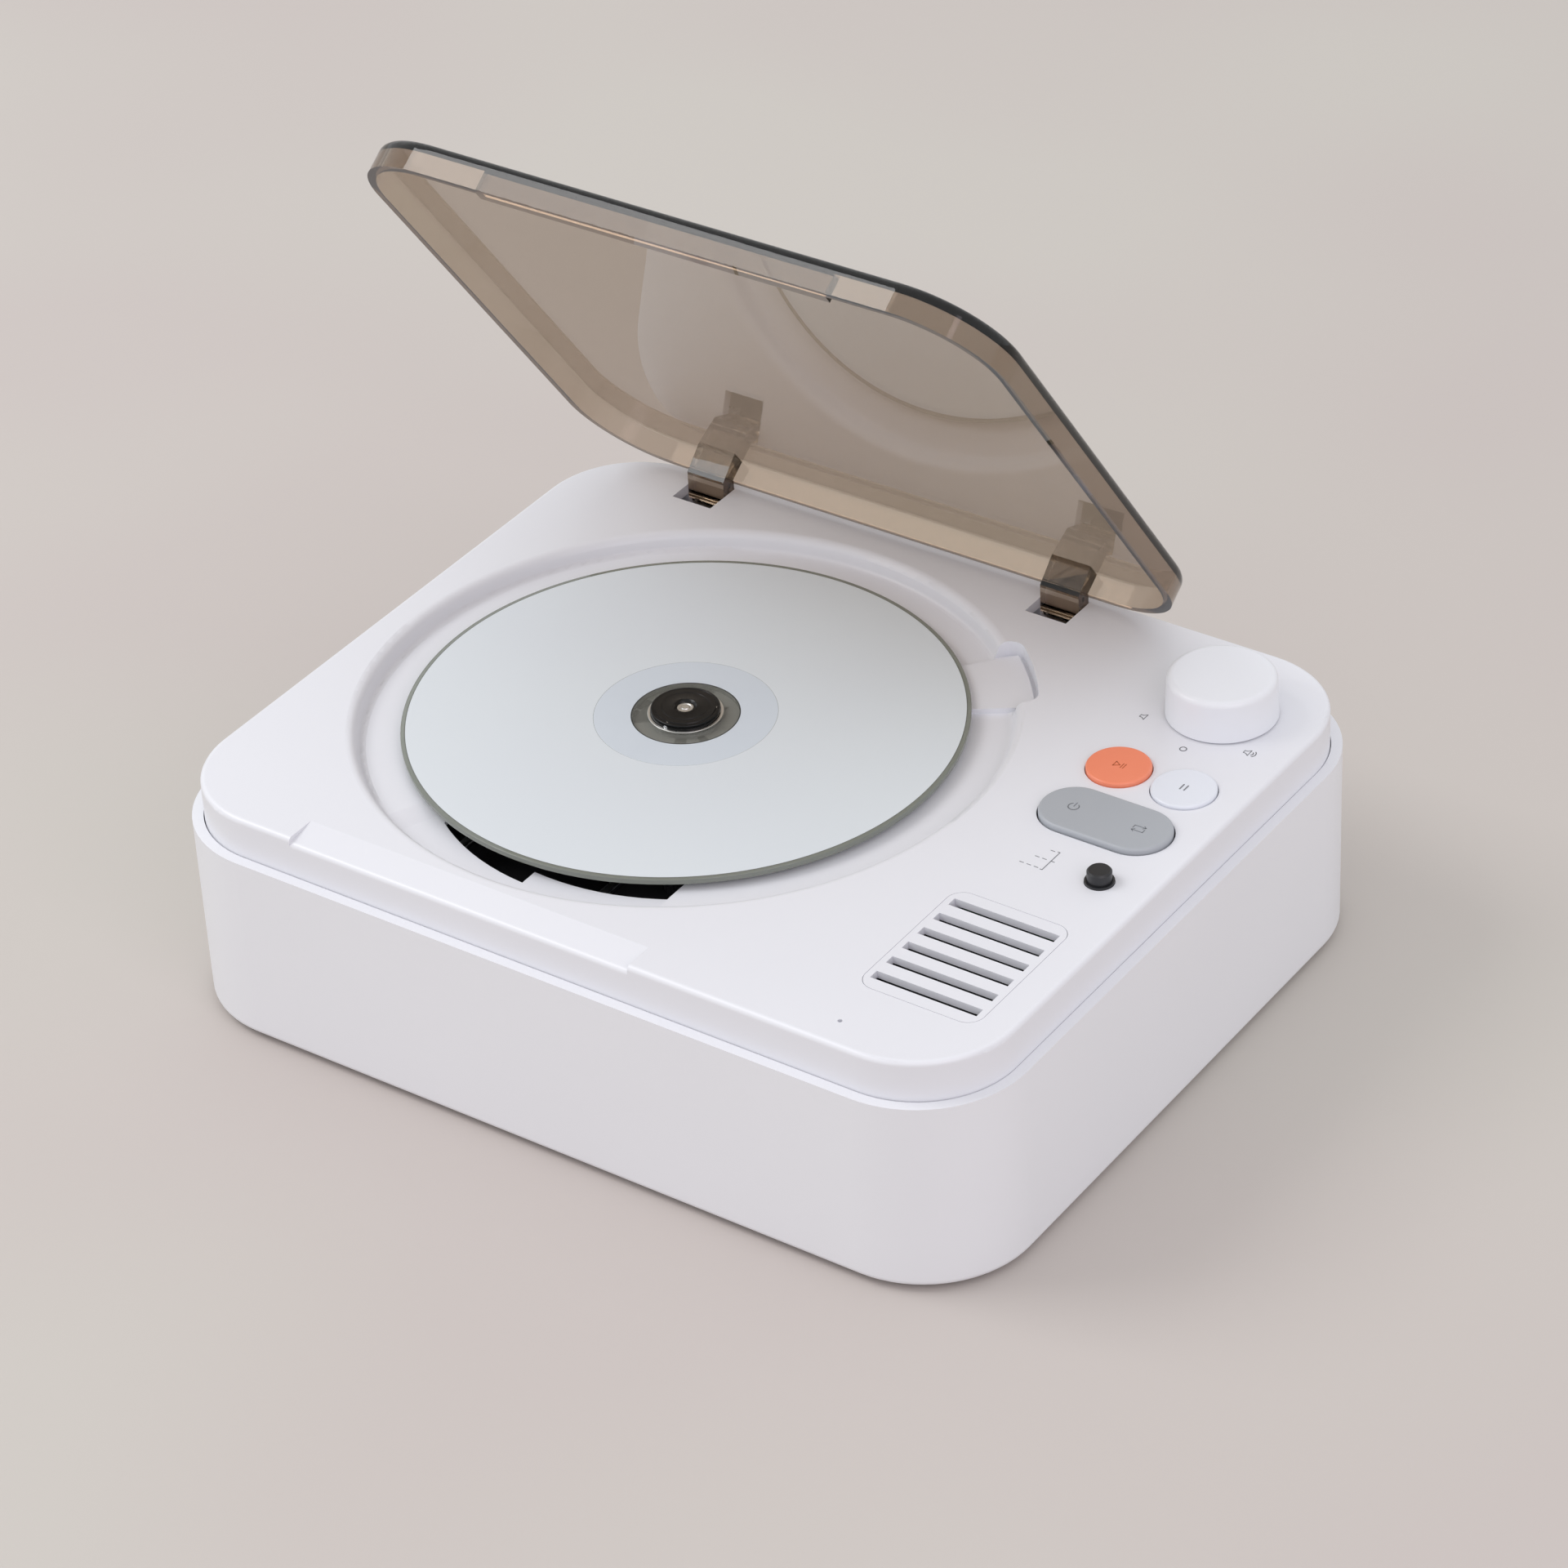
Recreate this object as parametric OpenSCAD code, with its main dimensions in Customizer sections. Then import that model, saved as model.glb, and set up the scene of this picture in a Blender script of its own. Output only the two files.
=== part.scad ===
// Compact disc player with a smoked lid on a rear hinge, keyholed at the back for a wall.
// Millimetres. X runs along the front, Y towards the hinge, Z out of the wall or table.
// The origin is the middle of the case's underside, between the two keyholes.

/* [Case] */
// Width of the case, left to right
case_w = 201.2; // [198:0.1:212]
// Depth of the case, front to back
case_d = 165.6; // [163:0.1:176]
// Height of the case's ledge above its underside
case_h = 44.2; // [42:0.1:52]
// Corner radius of the case
case_r = 24.5; // [22:0.1:27]
// Wall thickness of the case
case_wall = 2.4; // [2:0.1:3]
// Rounding of the case's lower edge
case_edge = 1.6; // [0.6:0.1:2]
// Width of the ring inside the case that carries the deck, and of the one above the cover
ring_w = 2; // [1.6:0.1:2.6]
// Thickness of both rings
ring_t = 2; // [1.4:0.1:2.6]
// Depth that the deck's skirt reaches down inside the case
skirt_depth = 3; // [2:0.1:4]

/* [Back cover] */
// Thickness of the back cover
cover_t = 2.4; // [2:0.1:3]
// Gap round the back cover
cover_gap = 0.15; // [0.1:0.01:0.3]
// Distance between the two keyholes
keyhole_spacing = 100; // [80:1:110]
// Radius of a keyhole's round end, which passes the screw's head
keyhole_r = 4.2; // [3.8:0.1:4.6]
// Width of a keyhole's slot, which holds the screw's neck
keyhole_slot_w = 4.4; // [3.6:0.1:4.8]
// Length of a keyhole's slot from the round end's centre
keyhole_slot_l = 9; // [7:0.5:12]
// Radius of a rubber foot
foot_r = 6; // [4:0.5:8]
// Height that a foot stands below the cover
foot_h = 1.2; // [0.8:0.1:2]
// Depth of a foot's recess
foot_recess = 0.8; // [0.4:0.1:1.2]
// Inset of a foot from the case's sides
foot_inset = 26; // [23:0.5:32]
// Width of a vent slot in the back cover
vent_w = 2; // [1.4:0.1:3]
// Length of a vent slot in the back cover
vent_l = 26; // [16:1:34]

/* [Deck] */
// Width of the ledge that the case shows round the deck
ledge_w = 2.5; // [2.45:0.05:3.2]
// Height of the deck above the case's ledge
deck_rise = 9.3; // [8.5:0.1:11]
// Thickness of the deck's top plate
deck_plate = 2.4; // [2:0.1:2.8]
// Thickness of the deck's skirt
deck_wall = 1.6; // [1.4:0.05:1.7]
// Rounding of the deck's upper edge
deck_edge = 1.1; // [0.5:0.1:1.3]
// Inset of a screw post from the deck's sides
post_inset = 11.6; // [11:0.1:13]
// Radius of a screw post
post_r = 4; // [3.4:0.1:4.4]
// Width of the thumb relief at the deck's front
relief_w = 85; // [70:1:100]
// Length of the thumb relief, front to back
relief_l = 7.4; // [5:0.1:7.5]
// Depth of the thumb relief at the deck's front edge
relief_depth = 1.3; // [1.2:0.1:1.6]

/* [Disc well] */
// Outer radius of the disc well
well_r = 71.4; // [70:0.1:72]
// Least width of deck left outside the well
well_margin = 2.4; // [2.2:0.1:4]
// Radius of the rounding between the deck and the well's wall
well_round = 2.2; // [1.6:0.1:2.6]
// Radius of the hollow between the well's wall and its floor
well_fillet = 1.4; // [0.8:0.1:1.6]
// Depth of the well's floor
well_depth = 3.9; // [3.6:0.1:4.4]
// Thickness of the well's floor
well_floor_t = 2; // [1.6:0.1:2.2]
// Depth of the floor's lowered part
well_low_depth = 4.9; // [4.4:0.1:5.1]
// Distance from the spindle to the middle of the ramp's foot, at the lowered part's left end
well_low_left = 27.2; // [25:0.1:29]
// Distance from the spindle to the pickup bay's front edge
bay_front = 62.8; // [61:0.1:64]
// Distance from the spindle to the bay's left side
bay_left = 23; // [20:0.5:24]
// Distance from the spindle to the step in the bay's front edge
bay_step = 3.5; // [2:0.5:8]
// Depth of that step
bay_step_d = 4.2; // [2:0.1:5]
// Distance from the spindle to the bay's right side
bay_right = 33; // [30:0.5:36]
// Radius of the hole round the turntable
spindle_hole_r = 14; // [13:0.1:15.5]
// Outer radius of the finger notch, from the spindle
notch_r = 74.2; // [72.5:0.1:75]
// Middle angle of the finger notch
notch_angle = 42; // [38:1:46]
// Sweep of the finger notch
notch_sweep = 19; // [14:1:24]
// Corner radius of the finger notch
notch_corner_r = 3.4; // [2:0.1:4]

/* [Disc and spindle] */
// Diameter of the disc
disc_d = 120; // [119.7:0.1:120.3]
// Thickness of the disc
disc_t = 1.2; // [1.1:0.1:1.5]
// Diameter of the disc's centre hole
disc_hole_d = 15; // [14.9:0.05:15.2]
// Depth of the disc's upper face below the deck's top
disc_sink = 1.2; // [1:0.1:1.4]
// Radius of the turntable
turntable_r = 11.6; // [10:0.1:12.4]
// Thickness of the turntable
turntable_t = 1.8; // [1.4:0.1:2.2]
// Gap between the disc's hole and the spigot that centres it
spigot_gap = 0.1; // [0.05:0.01:0.2]
// Height of the spindle cap above the disc
cap_h = 2; // [1.6:0.1:2.6]
// Radius of a clamping ball
ball_r = 1; // [0.8:0.05:1]
// Radius of the spindle's shaft
shaft_r = 1; // [0.9:0.05:1.2]
// Gap between a shaft and the bore that it turns in
shaft_gap = 0.05; // [0.03:0.01:0.08]
// Radius of the spindle motor
motor_r = 12; // [10:0.1:12.6]
// Height of the spindle motor
motor_h = 11; // [9:0.5:12]

/* [Pickup drive] */
// Thickness of the chassis plate
chassis_t = 2; // [1.6:0.1:2.4]
// Gap between the chassis plate's front and the deck's skirt
chassis_front_gap = 4.6; // [4.5:0.1:7]
// Height of the gap between the chassis plate and the well's floor
chassis_gap = 4.1; // [4.1:0.1:4.6]
// Radius of a guide rod
rod_r = 1.2; // [1:0.05:1.25]
// Distance from the spindle's line to a guide rod
rod_x = 17.5; // [16.8:0.1:17.7]
// Distance from the spindle to the lens, with the pickup at its inner end
lens_in = 24; // [23:0.5:25]
// Travel of the pickup
sled_travel = 32; // [28:0.5:32]
// Length of the pickup sled along its rods
sled_l = 18; // [14:0.5:18]
// Module of the feed gears
gear_module = 0.6; // [0.58:0.01:0.6]
// Teeth of the feed gear
gear_teeth = 28; // [28:4:32]
// Teeth of the motor's pinion
pinion_teeth = 10; // [10:4:14]
// Thickness of the feed gear and the rack
gear_t = 2; // [1.6:0.1:2.2]
// Radius of a damper bush's flanges
bush_r = 4; // [3.4:0.1:4.4]
// Radius of the feed motor
feed_motor_r = 7.5; // [6:0.1:8]
// Height of the feed motor
feed_motor_h = 9; // [7:0.5:10]

/* [Lid] */
// Width of the deck beside the lid, where the controls are
controls_w = 41; // [38:0.1:46]
// Distance from the deck's front to the closed lid's front edge
lid_front = 14.6; // [11:0.1:20]
// Height of the lid with its skirt
lid_h = 7; // [6:0.1:8]
// Corner radius of the lid
lid_r = 20.5; // [17:0.1:22.5]
// Thickness of the lid's panel
lid_t = 2.2; // [1.8:0.1:2.6]
// Thickness of the lid's skirt
lid_wall = 2; // [1.6:0.1:2]
// Rounding of the lid's upper edge
lid_edge = 2; // [0.8:0.1:2.1]
// Gap between the closed lid and the deck
lid_seat = 0.25; // [0.2:0.05:0.4]
// Angle of the open lid above the closed one
lid_open = 54; // [46:1:56]
// Width of the thumb lip inside the lid's front
lip_w = 85; // [70:1:100]
// Thickness of the thumb lip
lip_t = 2.4; // [1.5:0.1:3]

/* [Hinge] */
// Distance from the lid's side to the middle of a hinge arm
arm_inset = 31.2; // [28:0.1:35]
// Width of a hinge arm
arm_w = 9.7; // [8:0.1:11]
// Gap beside a hinge arm in its slot
arm_gap = 0.3; // [0.2:0.05:0.5]
// Distance from the hinge line to the deck's back
hinge_inset = 3.6; // [3.6:0.05:3.8]
// Depth of the hinge line below the deck's top
hinge_drop = 4.1; // [4:0.05:4.2]
// Distance from the closed lid's back edge to the hinge line
lid_back = 2.6; // [2.4:0.1:2.8]
// Length of an arm's slot in front of the hinge line
slot_front = 8.6; // [8.5:0.1:9.4]
// Length of an arm's slot behind the hinge line
slot_back = 1.3; // [1.3:0.1:1.5]
// Radius of a hinge pin
pin_r = 1; // [0.8:0.05:1]
// Radius of the arm's boss round its pin
arm_boss_r = 1.8; // [1.7:0.05:1.85]
// Thickness of a hinge ear below the deck
ear_t = 2.6; // [2:0.1:3.2]

/* [Controls] */
// Depth of the deck that the controls' places are given for; on another deck they move in proportion
control_field = 160.4; // [150:0.1:172]
// Distance from the deck's right side to the middle of the controls
controls_inset = 21.1; // [20:0.1:23]
// Distance from the deck's back to the knob's centre
knob_y = 24.6; // [22:0.1:26]
// Radius of the knob's foot
knob_r = 11.9; // [10:0.1:12.5]
// Height of the knob above the deck
knob_h = 9.8; // [8:0.1:12]
// Rounding of the knob's upper edge
knob_edge = 1.4; // [0.6:0.1:2]
// Gap below the knob
knob_gap = 0.35; // [0.3:0.05:0.5]
// Radius of the knob's shaft
knob_shaft_r = 3; // [2.6:0.1:3.2]
// Distance from the deck's back to the centres of the round buttons
round_y = 53; // [51:0.1:54]
// Distance between the round buttons
round_pitch = 15.5; // [15.3:0.1:16]
// Radius of a round button
round_r = 6.9; // [6.4:0.1:6.95]
// Height of a round button above the deck
round_h = 1; // [0.6:0.1:1.6]
// Distance from the deck's back to the rocker's centre
rocker_y = 70.8; // [70:0.1:72]
// Length of the rocker
rocker_l = 29.6; // [27:0.1:30.5]
// Width of the rocker
rocker_w = 15.2; // [13:0.1:15.4]
// Height of the rocker above the deck
rocker_h = 1.3; // [0.8:0.1:1.8]
// Distance from the deck's back to the mode button's centre
mode_y = 88.8; // [87:0.1:90]
// Distance from the middle of the controls to the mode button's centre
mode_x = 9.6; // [8:0.1:10]
// Radius of the mode button
mode_r = 2.6; // [2.2:0.1:2.8]
// Height of the mode button above the deck
mode_h = 3; // [2.6:0.1:4]
// Gap round a button in its hole
button_gap = 0.2; // [0.15:0.01:0.3]
// Gap round the rocker in its hole, which leaves it room to tilt
rocker_gap = 0.35; // [0.3:0.01:0.45]
// Width of the flange that keeps a button in
button_flange = 0.55; // [0.4:0.05:0.6]
// Travel of a button
button_travel = 0.5; // [0.3:0.05:0.5]

/* [Speaker] */
// Distance from the deck's front to the grille's centre
grille_y = 36.9; // [35:0.1:38]
// Width of the grille plate
grille_w = 27.4; // [27:0.1:29]
// Length of the grille plate, front to back
grille_l = 36.4; // [35.6:0.1:37]
// Corner radius of the grille plate
grille_r = 3.6; // [2.5:0.1:5]
// Thickness of the grille plate
grille_t = 1.7; // [1.5:0.05:1.8]
// Gap round the grille plate
grille_gap = 0.12; // [0.08:0.01:0.2]
// Length of a grille slot
grille_slot_l = 24.6; // [20:0.1:24.8]
// Width of a grille slot
grille_slot_w = 2.4; // [1.6:0.1:2.8]
// Distance between grille slots
grille_pitch = 5.6; // [5.2:0.05:5.7]
// Number of grille slots
grille_slots = 6; // [4:1:6]
// Radius of the speaker
speaker_r = 17; // [15:0.1:17.4]
// Height of the speaker without its magnet
speaker_h = 10; // [8:0.5:12]
// Radius of the speaker's magnet
magnet_r = 9; // [7:0.1:11]
// Thickness of the speaker's magnet
magnet_t = 5; // [4:0.5:7]

/* [Electronics] */
// Thickness of the circuit boards
board_t = 1.6; // [1.2:0.1:1.8]
// Width of the main board
main_w = 92; // [80:1:94]
// Depth of the main board
main_d = 58; // [50:1:64]
// Height of the posts that carry the main board
main_post_h = 4.6; // [4.4:0.1:6]
// Distance from the deck's right side to the main board's right side
main_inset = 18; // [17:0.5:20]
// Radius of the phones jack's bore
jack_r = 1.85; // [1.8:0.05:1.9]
// Length of the phones jack's bore
jack_l = 13; // [11:0.5:14]
// Distance from the case's middle to the phones jack
jack_x = 58; // [50:1:62]
// Distance from the case's middle to the power inlet
inlet_x = 30; // [22:1:36]
// Width of the power inlet's metal shell
inlet_w = 9; // [8.9:0.1:9.2]
// Height of the power inlet's metal shell
inlet_h = 3.2; // [3.1:0.1:3.4]
// Width of the battery
battery_w = 70; // [60:1:76]
// Depth of the battery
battery_d = 50; // [40:1:54]
// Thickness of the battery
battery_t = 9; // [7:0.5:12]
// Side of a small switch
switch_w = 6; // [5.8:0.1:6.4]
// Height of a small switch's body
switch_h = 3.6; // [3.2:0.1:4]
// Depth of the control board's top below the deck's plate
control_drop = 7.9; // [7.8:0.1:8.2]

/* [Hidden] */

$fn = 96;
over = 1;

// Case and deck
deck_w = case_w - 2 * ledge_w;
deck_d = case_d - 2 * ledge_w - 0.2;
deck_r = case_r - case_wall + 0.05;
inner_w = case_w - 2 * case_wall;
inner_d = case_d - 2 * case_wall;
inner_r = case_r - case_wall;
deck_z = case_h + deck_rise;
plate_z = deck_z - deck_plate;
skirt_z = case_h - skirt_depth;
post_x = deck_w / 2 - post_inset;
post_y = deck_d / 2 - post_inset;
post_bore_r = 1.3;
screw_r = 1.25;
cover_screw_hole_r = 1.7;
screw_head_r = 2.8;
screw_head_t = 1.4;
screw_head_sink = 1.6;
screw_reach = 12;
foot_x = case_w / 2 - foot_inset;
foot_y = case_d / 2 - foot_inset;

// Disc well
lid_w = deck_w - controls_w;
play_x = lid_w / 2 - deck_w / 2;
play_y = 0;
rim_r = min(well_r, lid_w / 2 - well_margin, deck_d / 2 - 2 * well_margin);
lost_r = well_r - rim_r;
wall_tilt = 70;
bends = well_round + well_fillet;
wall_l = (well_depth - bends * (1 - cos(wall_tilt))) / sin(wall_tilt);
floor_r = rim_r - bends * sin(wall_tilt) - wall_l * cos(wall_tilt);
low_r = floor_r + 0.15;
ramp_w = 4.9;
ramp_turn = 24.8;
ramp_y = 56;
bay_y = bay_front - lost_r;
notch_out_r = notch_r - lost_r;
floor_z = deck_z - well_depth;
under_z = floor_z - well_floor_t;
well_wall = 2;
notch_depth = well_depth - 0.3;
notch_pad_gap = 1;
notch_pad_h = 0.9;
pad_in_r = disc_d / 2 - 3;

// Disc and spindle
disc_top = deck_z - disc_sink;
disc_z = disc_top - disc_t;
spigot_r = disc_hole_d / 2 - spigot_gap;
hub_r = 4.2;
hub_drop = 3.8;
ball_ring_r = spigot_r - ball_r + 0.1;
ball_z = disc_top + 0.65;
ball_pocket_gap = 0.05;

// Pickup drive
chassis_z = under_z - chassis_gap;
chassis_bottom = chassis_z - chassis_t;
rod_z = chassis_z + 2;
rod_block_t = 5;
rod_block_w = 5.4;
rod_block_h = 3.7;
chassis_front = -(deck_d / 2 - deck_wall - chassis_front_gap);
rod_front = chassis_front + 2.5;
rod_back = -8;
chassis_back = 22;
chassis_left = 40;
chassis_side = 46;
window_w = 31;
window_front = chassis_front + 7;
window_back = -14.2;
tub_wall = 1.2;
sled_w = 29;
sled_top = under_z - 0.4;
sled_bottom = chassis_bottom - 1.5;
tub_z = sled_bottom - 0.5;
sled_ear_gap = 0.3;
sled_ear_reach = 2.9;
holder_r = 4.2;
holder_h = 1.7;
focus_gap = 0.4;
lens_r = 2.4;
lens_h = 0.7;
tooth_p = PI * gear_module;
rack_line = rod_x + 5.4;
rack_z = chassis_z + 0.5;
gear_r = gear_module * gear_teeth / 2;
pinion_r = gear_module * pinion_teeth / 2;
gear_x = rack_line + gear_r + 0.05;
gear_y = -38;
pinion_y = gear_y + gear_r + pinion_r + 0.05;
gear_bore_r = 1;
pinion_shaft_r = 0.75;
bush_spots = [[-34, -56], [40, -54], [-34, 14], [40, 14]];
bush_neck_r = 2.6;
bush_top_h = 2.5;
bush_low_h = 2;
bush_bore_r = 1.3;
chassis_screw_r = 1.2;

// Lid and hinge
hinge_y = deck_d / 2 - hinge_inset;
hinge_z = deck_z - hinge_drop;
lid_d = hinge_y - lid_back + deck_d / 2 - lid_front;
arm_x = lid_w / 2 - arm_inset;
lid_rim = deck_z + lid_seat;
lid_x = play_x;
lid_y = hinge_y - lid_back - lid_d / 2;
lid_under = lid_rim + lid_h - lid_t;
pin_gap = 0.05;
ear_gap = 0.02;
ear_drop = 3;
ear_l = 5.4;

// Controls
col_x = deck_w / 2 - controls_inset;
stretch = deck_d / control_field;
knob_cy = stretch * (control_field / 2 - knob_y);
round_cy = stretch * (control_field / 2 - round_y);
rocker_cy = stretch * (control_field / 2 - rocker_y);
mode_cx = col_x + mode_x;
mode_cy = stretch * (control_field / 2 - mode_y);
board_z = plate_z - control_drop;
switch_top = board_z + switch_h + 0.5;
stem_z = switch_top + button_travel + 0.1;
flange_top = plate_z - 0.05;
flange_t = 0.9;
rocker_flange_top = plate_z - 0.8;
rocker_switch_x = 9.5;
rocker_pivot_z = rocker_flange_top - flange_t + 1.3;
rocker_pin_r = 0.8;
collar_r = mode_r + 0.5;
collar_gap = 0.08;
encoder_w = 12;
encoder_h = 6.3;
bush_knob_r = knob_shaft_r + 0.8;
knob_hole_r = bush_knob_r + 0.4;

// Speaker
grille_cx = col_x + 0.2;
grille_cy = -stretch * (control_field / 2 - grille_y);

// Electronics
board_x0 = col_x - 16.5;
board_x1 = col_x + 17;
board_y0 = rocker_cy - 27.5;
board_y1 = post_y - post_r - 1.6;
board_posts = [
  [board_x0 + 3, board_y1 - 3], [board_x1 - 3, board_y1 - 3],
  [board_x0 + 3, board_y0 + 3], [board_x1 - 3, board_y0 + 3]
];
board_post_r = 2.5;
small_screw_r = 0.95;
small_bore_r = 1;
main_x = deck_w / 2 - main_inset - main_w / 2;
main_y = inner_d / 2 - 0.6 - main_d / 2;
main_z = cover_t + main_post_h;
main_top = main_z + board_t;
main_hole_x = main_w / 2 - 5;
main_hole_y = main_d / 2 - 12;
jack_z = main_top + 4;
inlet_z = main_top + inlet_h / 2;
battery_x = -inner_w / 2 + 17 + battery_w / 2;
battery_y = -inner_d / 2 + 17 + battery_d / 2;

// Flat outline with round corners, centred
module rounded(w, d, r) {
  square([w - 2 * r, d], center = true);
  square([w, d - 2 * r], center = true);
  for (sx = [-1, 1], sy = [-1, 1])
    translate([sx * (w / 2 - r), sy * (d / 2 - r)]) circle(r);
}

// Plate with round corners, standing on the plane z = 0
module plate(w, d, r, h) {
  linear_extrude(h) rounded(w, d, r);
}

// Plate with two half-round ends
module long_plate(l, w, h) {
  linear_extrude(h) {
    square([l - w, w], center = true);
    for (s = [-1, 1]) translate([s * (l - w) / 2, 0]) circle(w / 2);
  }
}

// What comes off the upper edge of a plate of height h with round corners, to round it by e
module edge_cut(w, d, r, h, e) {
  for (i = [0 : 3]) {
    long = i % 2 == 0 ? d - 2 * r : w - 2 * r;
    reach = i % 2 == 0 ? w / 2 : d / 2;
    rotate([0, 0, 90 * i]) translate([reach - e, long / 2, h - e])
      rotate([90, 0, 0]) linear_extrude(long) edge_section(e);
  }
  for (sx = [-1, 1], sy = [-1, 1]) {
    turn = sx > 0 ? (sy > 0 ? 0 : 270) : (sy > 0 ? 90 : 180);
    translate([sx * (w / 2 - r), sy * (d / 2 - r), h - e])
      rotate([0, 0, turn]) rotate_extrude(angle = 90) translate([r - e, 0]) edge_section(e);
  }
}

module edge_section(e) {
  difference() {
    square(e + over);
    circle(e);
  }
}

// Ring that lies inside the case's wall
module inner_ring(z, width, thickness) {
  translate([0, 0, z]) difference() {
    plate(inner_w + 1, inner_d + 1, inner_r + 0.5, thickness);
    translate([0, 0, -over])
      plate(inner_w - 2 * width, inner_d - 2 * width, inner_r - width, thickness + 2 * over);
  }
}

module at_posts() {
  for (sx = [-1, 1], sy = [-1, 1]) translate([sx * post_x, sy * post_y, 0]) children();
}

module at_disc() {
  translate([play_x, play_y, 0]) children();
}

module case_side_cut(w, h, r) {
  rotate([-90, 0, 0]) linear_extrude(case_wall + 2 * over) rounded(w, h, r);
}

// Frame of the case: an open ring of four walls with round corners
module lower_shell() {
  color("#E4E6EA") difference() {
    union() {
      difference() {
        plate(case_w, case_d, case_r, case_h);
        mirror([0, 0, 1]) translate([0, 0, -case_h]) edge_cut(case_w, case_d, case_r, case_h, case_edge);
        translate([0, 0, -over]) plate(inner_w, inner_d, inner_r, case_h + 2 * over);
      }
      inner_ring(cover_t, ring_w, ring_t);
      inner_ring(skirt_z - ring_t, ring_w, ring_t);
    }
    translate([jack_x, case_d / 2 - case_wall - over, jack_z]) rotate([-90, 0, 0])
      cylinder(r = 4.15, h = case_wall + 2 * over);
    translate([inlet_x, case_d / 2 - case_wall - over, inlet_z])
      case_side_cut(inlet_w + 0.4, inlet_h + 0.4, inlet_h / 2);
  }
}

module keyhole() {
  cylinder(r = keyhole_r, h = cover_t + 2 * over);
  translate([-keyhole_slot_w / 2, 0, 0]) cube([keyhole_slot_w, keyhole_slot_l, cover_t + 2 * over]);
  translate([0, keyhole_slot_l, 0]) cylinder(r = keyhole_slot_w / 2, h = cover_t + 2 * over);
}

module at_feet() {
  for (sx = [-1, 1], sy = [-1, 1]) translate([sx * foot_x, sy * foot_y, 0]) children();
}

module at_main_screws() {
  for (sx = [-1, 1], sy = [-1, 1])
    translate([main_x + sx * main_hole_x, main_y + sy * main_hole_y, 0]) children();
}

// Flat plate that closes the case at the wall side
module back_cover() {
  color("#DDDFE3") difference() {
    union() {
      plate(inner_w - 2 * cover_gap, inner_d - 2 * cover_gap, inner_r - cover_gap, cover_t);
      at_main_screws() cylinder(r = 3, h = main_z);
      battery_fence();
    }
    for (sx = [-1, 1]) translate([sx * keyhole_spacing / 2, 0, -over]) keyhole();
    at_feet() translate([0, 0, -over]) cylinder(r = foot_r + 0.1, h = foot_recess + over);
    at_posts() translate([0, 0, -over]) {
      cylinder(r = cover_screw_hole_r, h = cover_t + 2 * over);
      cylinder(r = screw_head_r + 0.3, h = screw_head_sink + over);
    }
    at_main_screws() translate([0, 0, cover_t]) cylinder(r = small_bore_r, h = main_post_h + over);
    for (i = [-3 : 3])
      translate([keyhole_spacing / 4 + i * 2.6 * vent_w - vent_w / 2, -foot_y - vent_l / 2 + 8, -over])
        cube([vent_w, vent_l, cover_t + 2 * over]);
  }
}

// Low ribs that keep the battery in its place
module battery_fence() {
  rib = 1.6;
  rib_h = 5;
  gap = 0.3;
  for (s = [-1, 1]) {
    translate([battery_x + s * (battery_w / 2 + gap + rib / 2), battery_y, cover_t + rib_h / 2 - 0.1])
      cube([rib, battery_d * 0.6, rib_h + 0.2], center = true);
    translate([battery_x, battery_y + s * (battery_d / 2 + gap + rib / 2), cover_t + rib_h / 2 - 0.1])
      cube([battery_w * 0.6, rib, rib_h + 0.2], center = true);
  }
}

module rubber_feet() {
  color("#3A3A3C") at_feet() translate([0, 0, -foot_h]) cylinder(r = foot_r, h = foot_h + foot_recess);
}

module case_screws() {
  color("#8C8E92") at_posts() {
    translate([0, 0, screw_head_sink - screw_head_t]) cylinder(r = screw_head_r, h = screw_head_t);
    translate([0, 0, screw_head_sink - screw_head_t]) cylinder(r = screw_r, h = screw_reach);
  }
}

// Round section of the well's tub below the deck
module well_tub() {
  translate([0, 0, under_z])
    cylinder(r = rim_r - well_round + well_wall, h = deck_z - 0.5 - under_z, $fn = 180);
}

// Flat floor with a steep wall that bends into it below and into the deck above
module well_cut() {
  foot = [floor_r, floor_z + well_fillet];
  rim = [rim_r, deck_z - well_round];
  side = [sin(wall_tilt), -cos(wall_tilt)];
  rotate_extrude($fn = 180) difference() {
    union() {
      polygon([
        [0, floor_z], [floor_r, floor_z], foot, foot + well_fillet * side, rim - well_round * side, rim,
        [rim_r, deck_z + over], [0, deck_z + over]
      ]);
      translate(foot) circle(well_fillet);
    }
    translate(rim) circle(well_round);
  }
}

// The floor drops in front, between a ramp on the left and a step on the right
module well_low_cut() {
  low_z = deck_z - well_low_depth;
  rise = ramp_w / (well_low_depth - well_depth);
  top = well_low_depth + over;
  intersection() {
    translate([0, 0, low_z]) linear_extrude(top) intersection() {
      circle(low_r, $fn = 180);
      polygon([[-55, -40], [bay_right, -40], [bay_right, -low_r], [-55, -low_r]]);
    }
    translate([-well_low_left, -ramp_y, low_z]) rotate([0, 0, -ramp_turn]) translate([0, 60, 0])
      rotate([90, 0, 0]) linear_extrude(120)
        polygon([[0, -over], [0, 0], [-rise * top, top], [120, top], [120, -over]]);
  }
}

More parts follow.
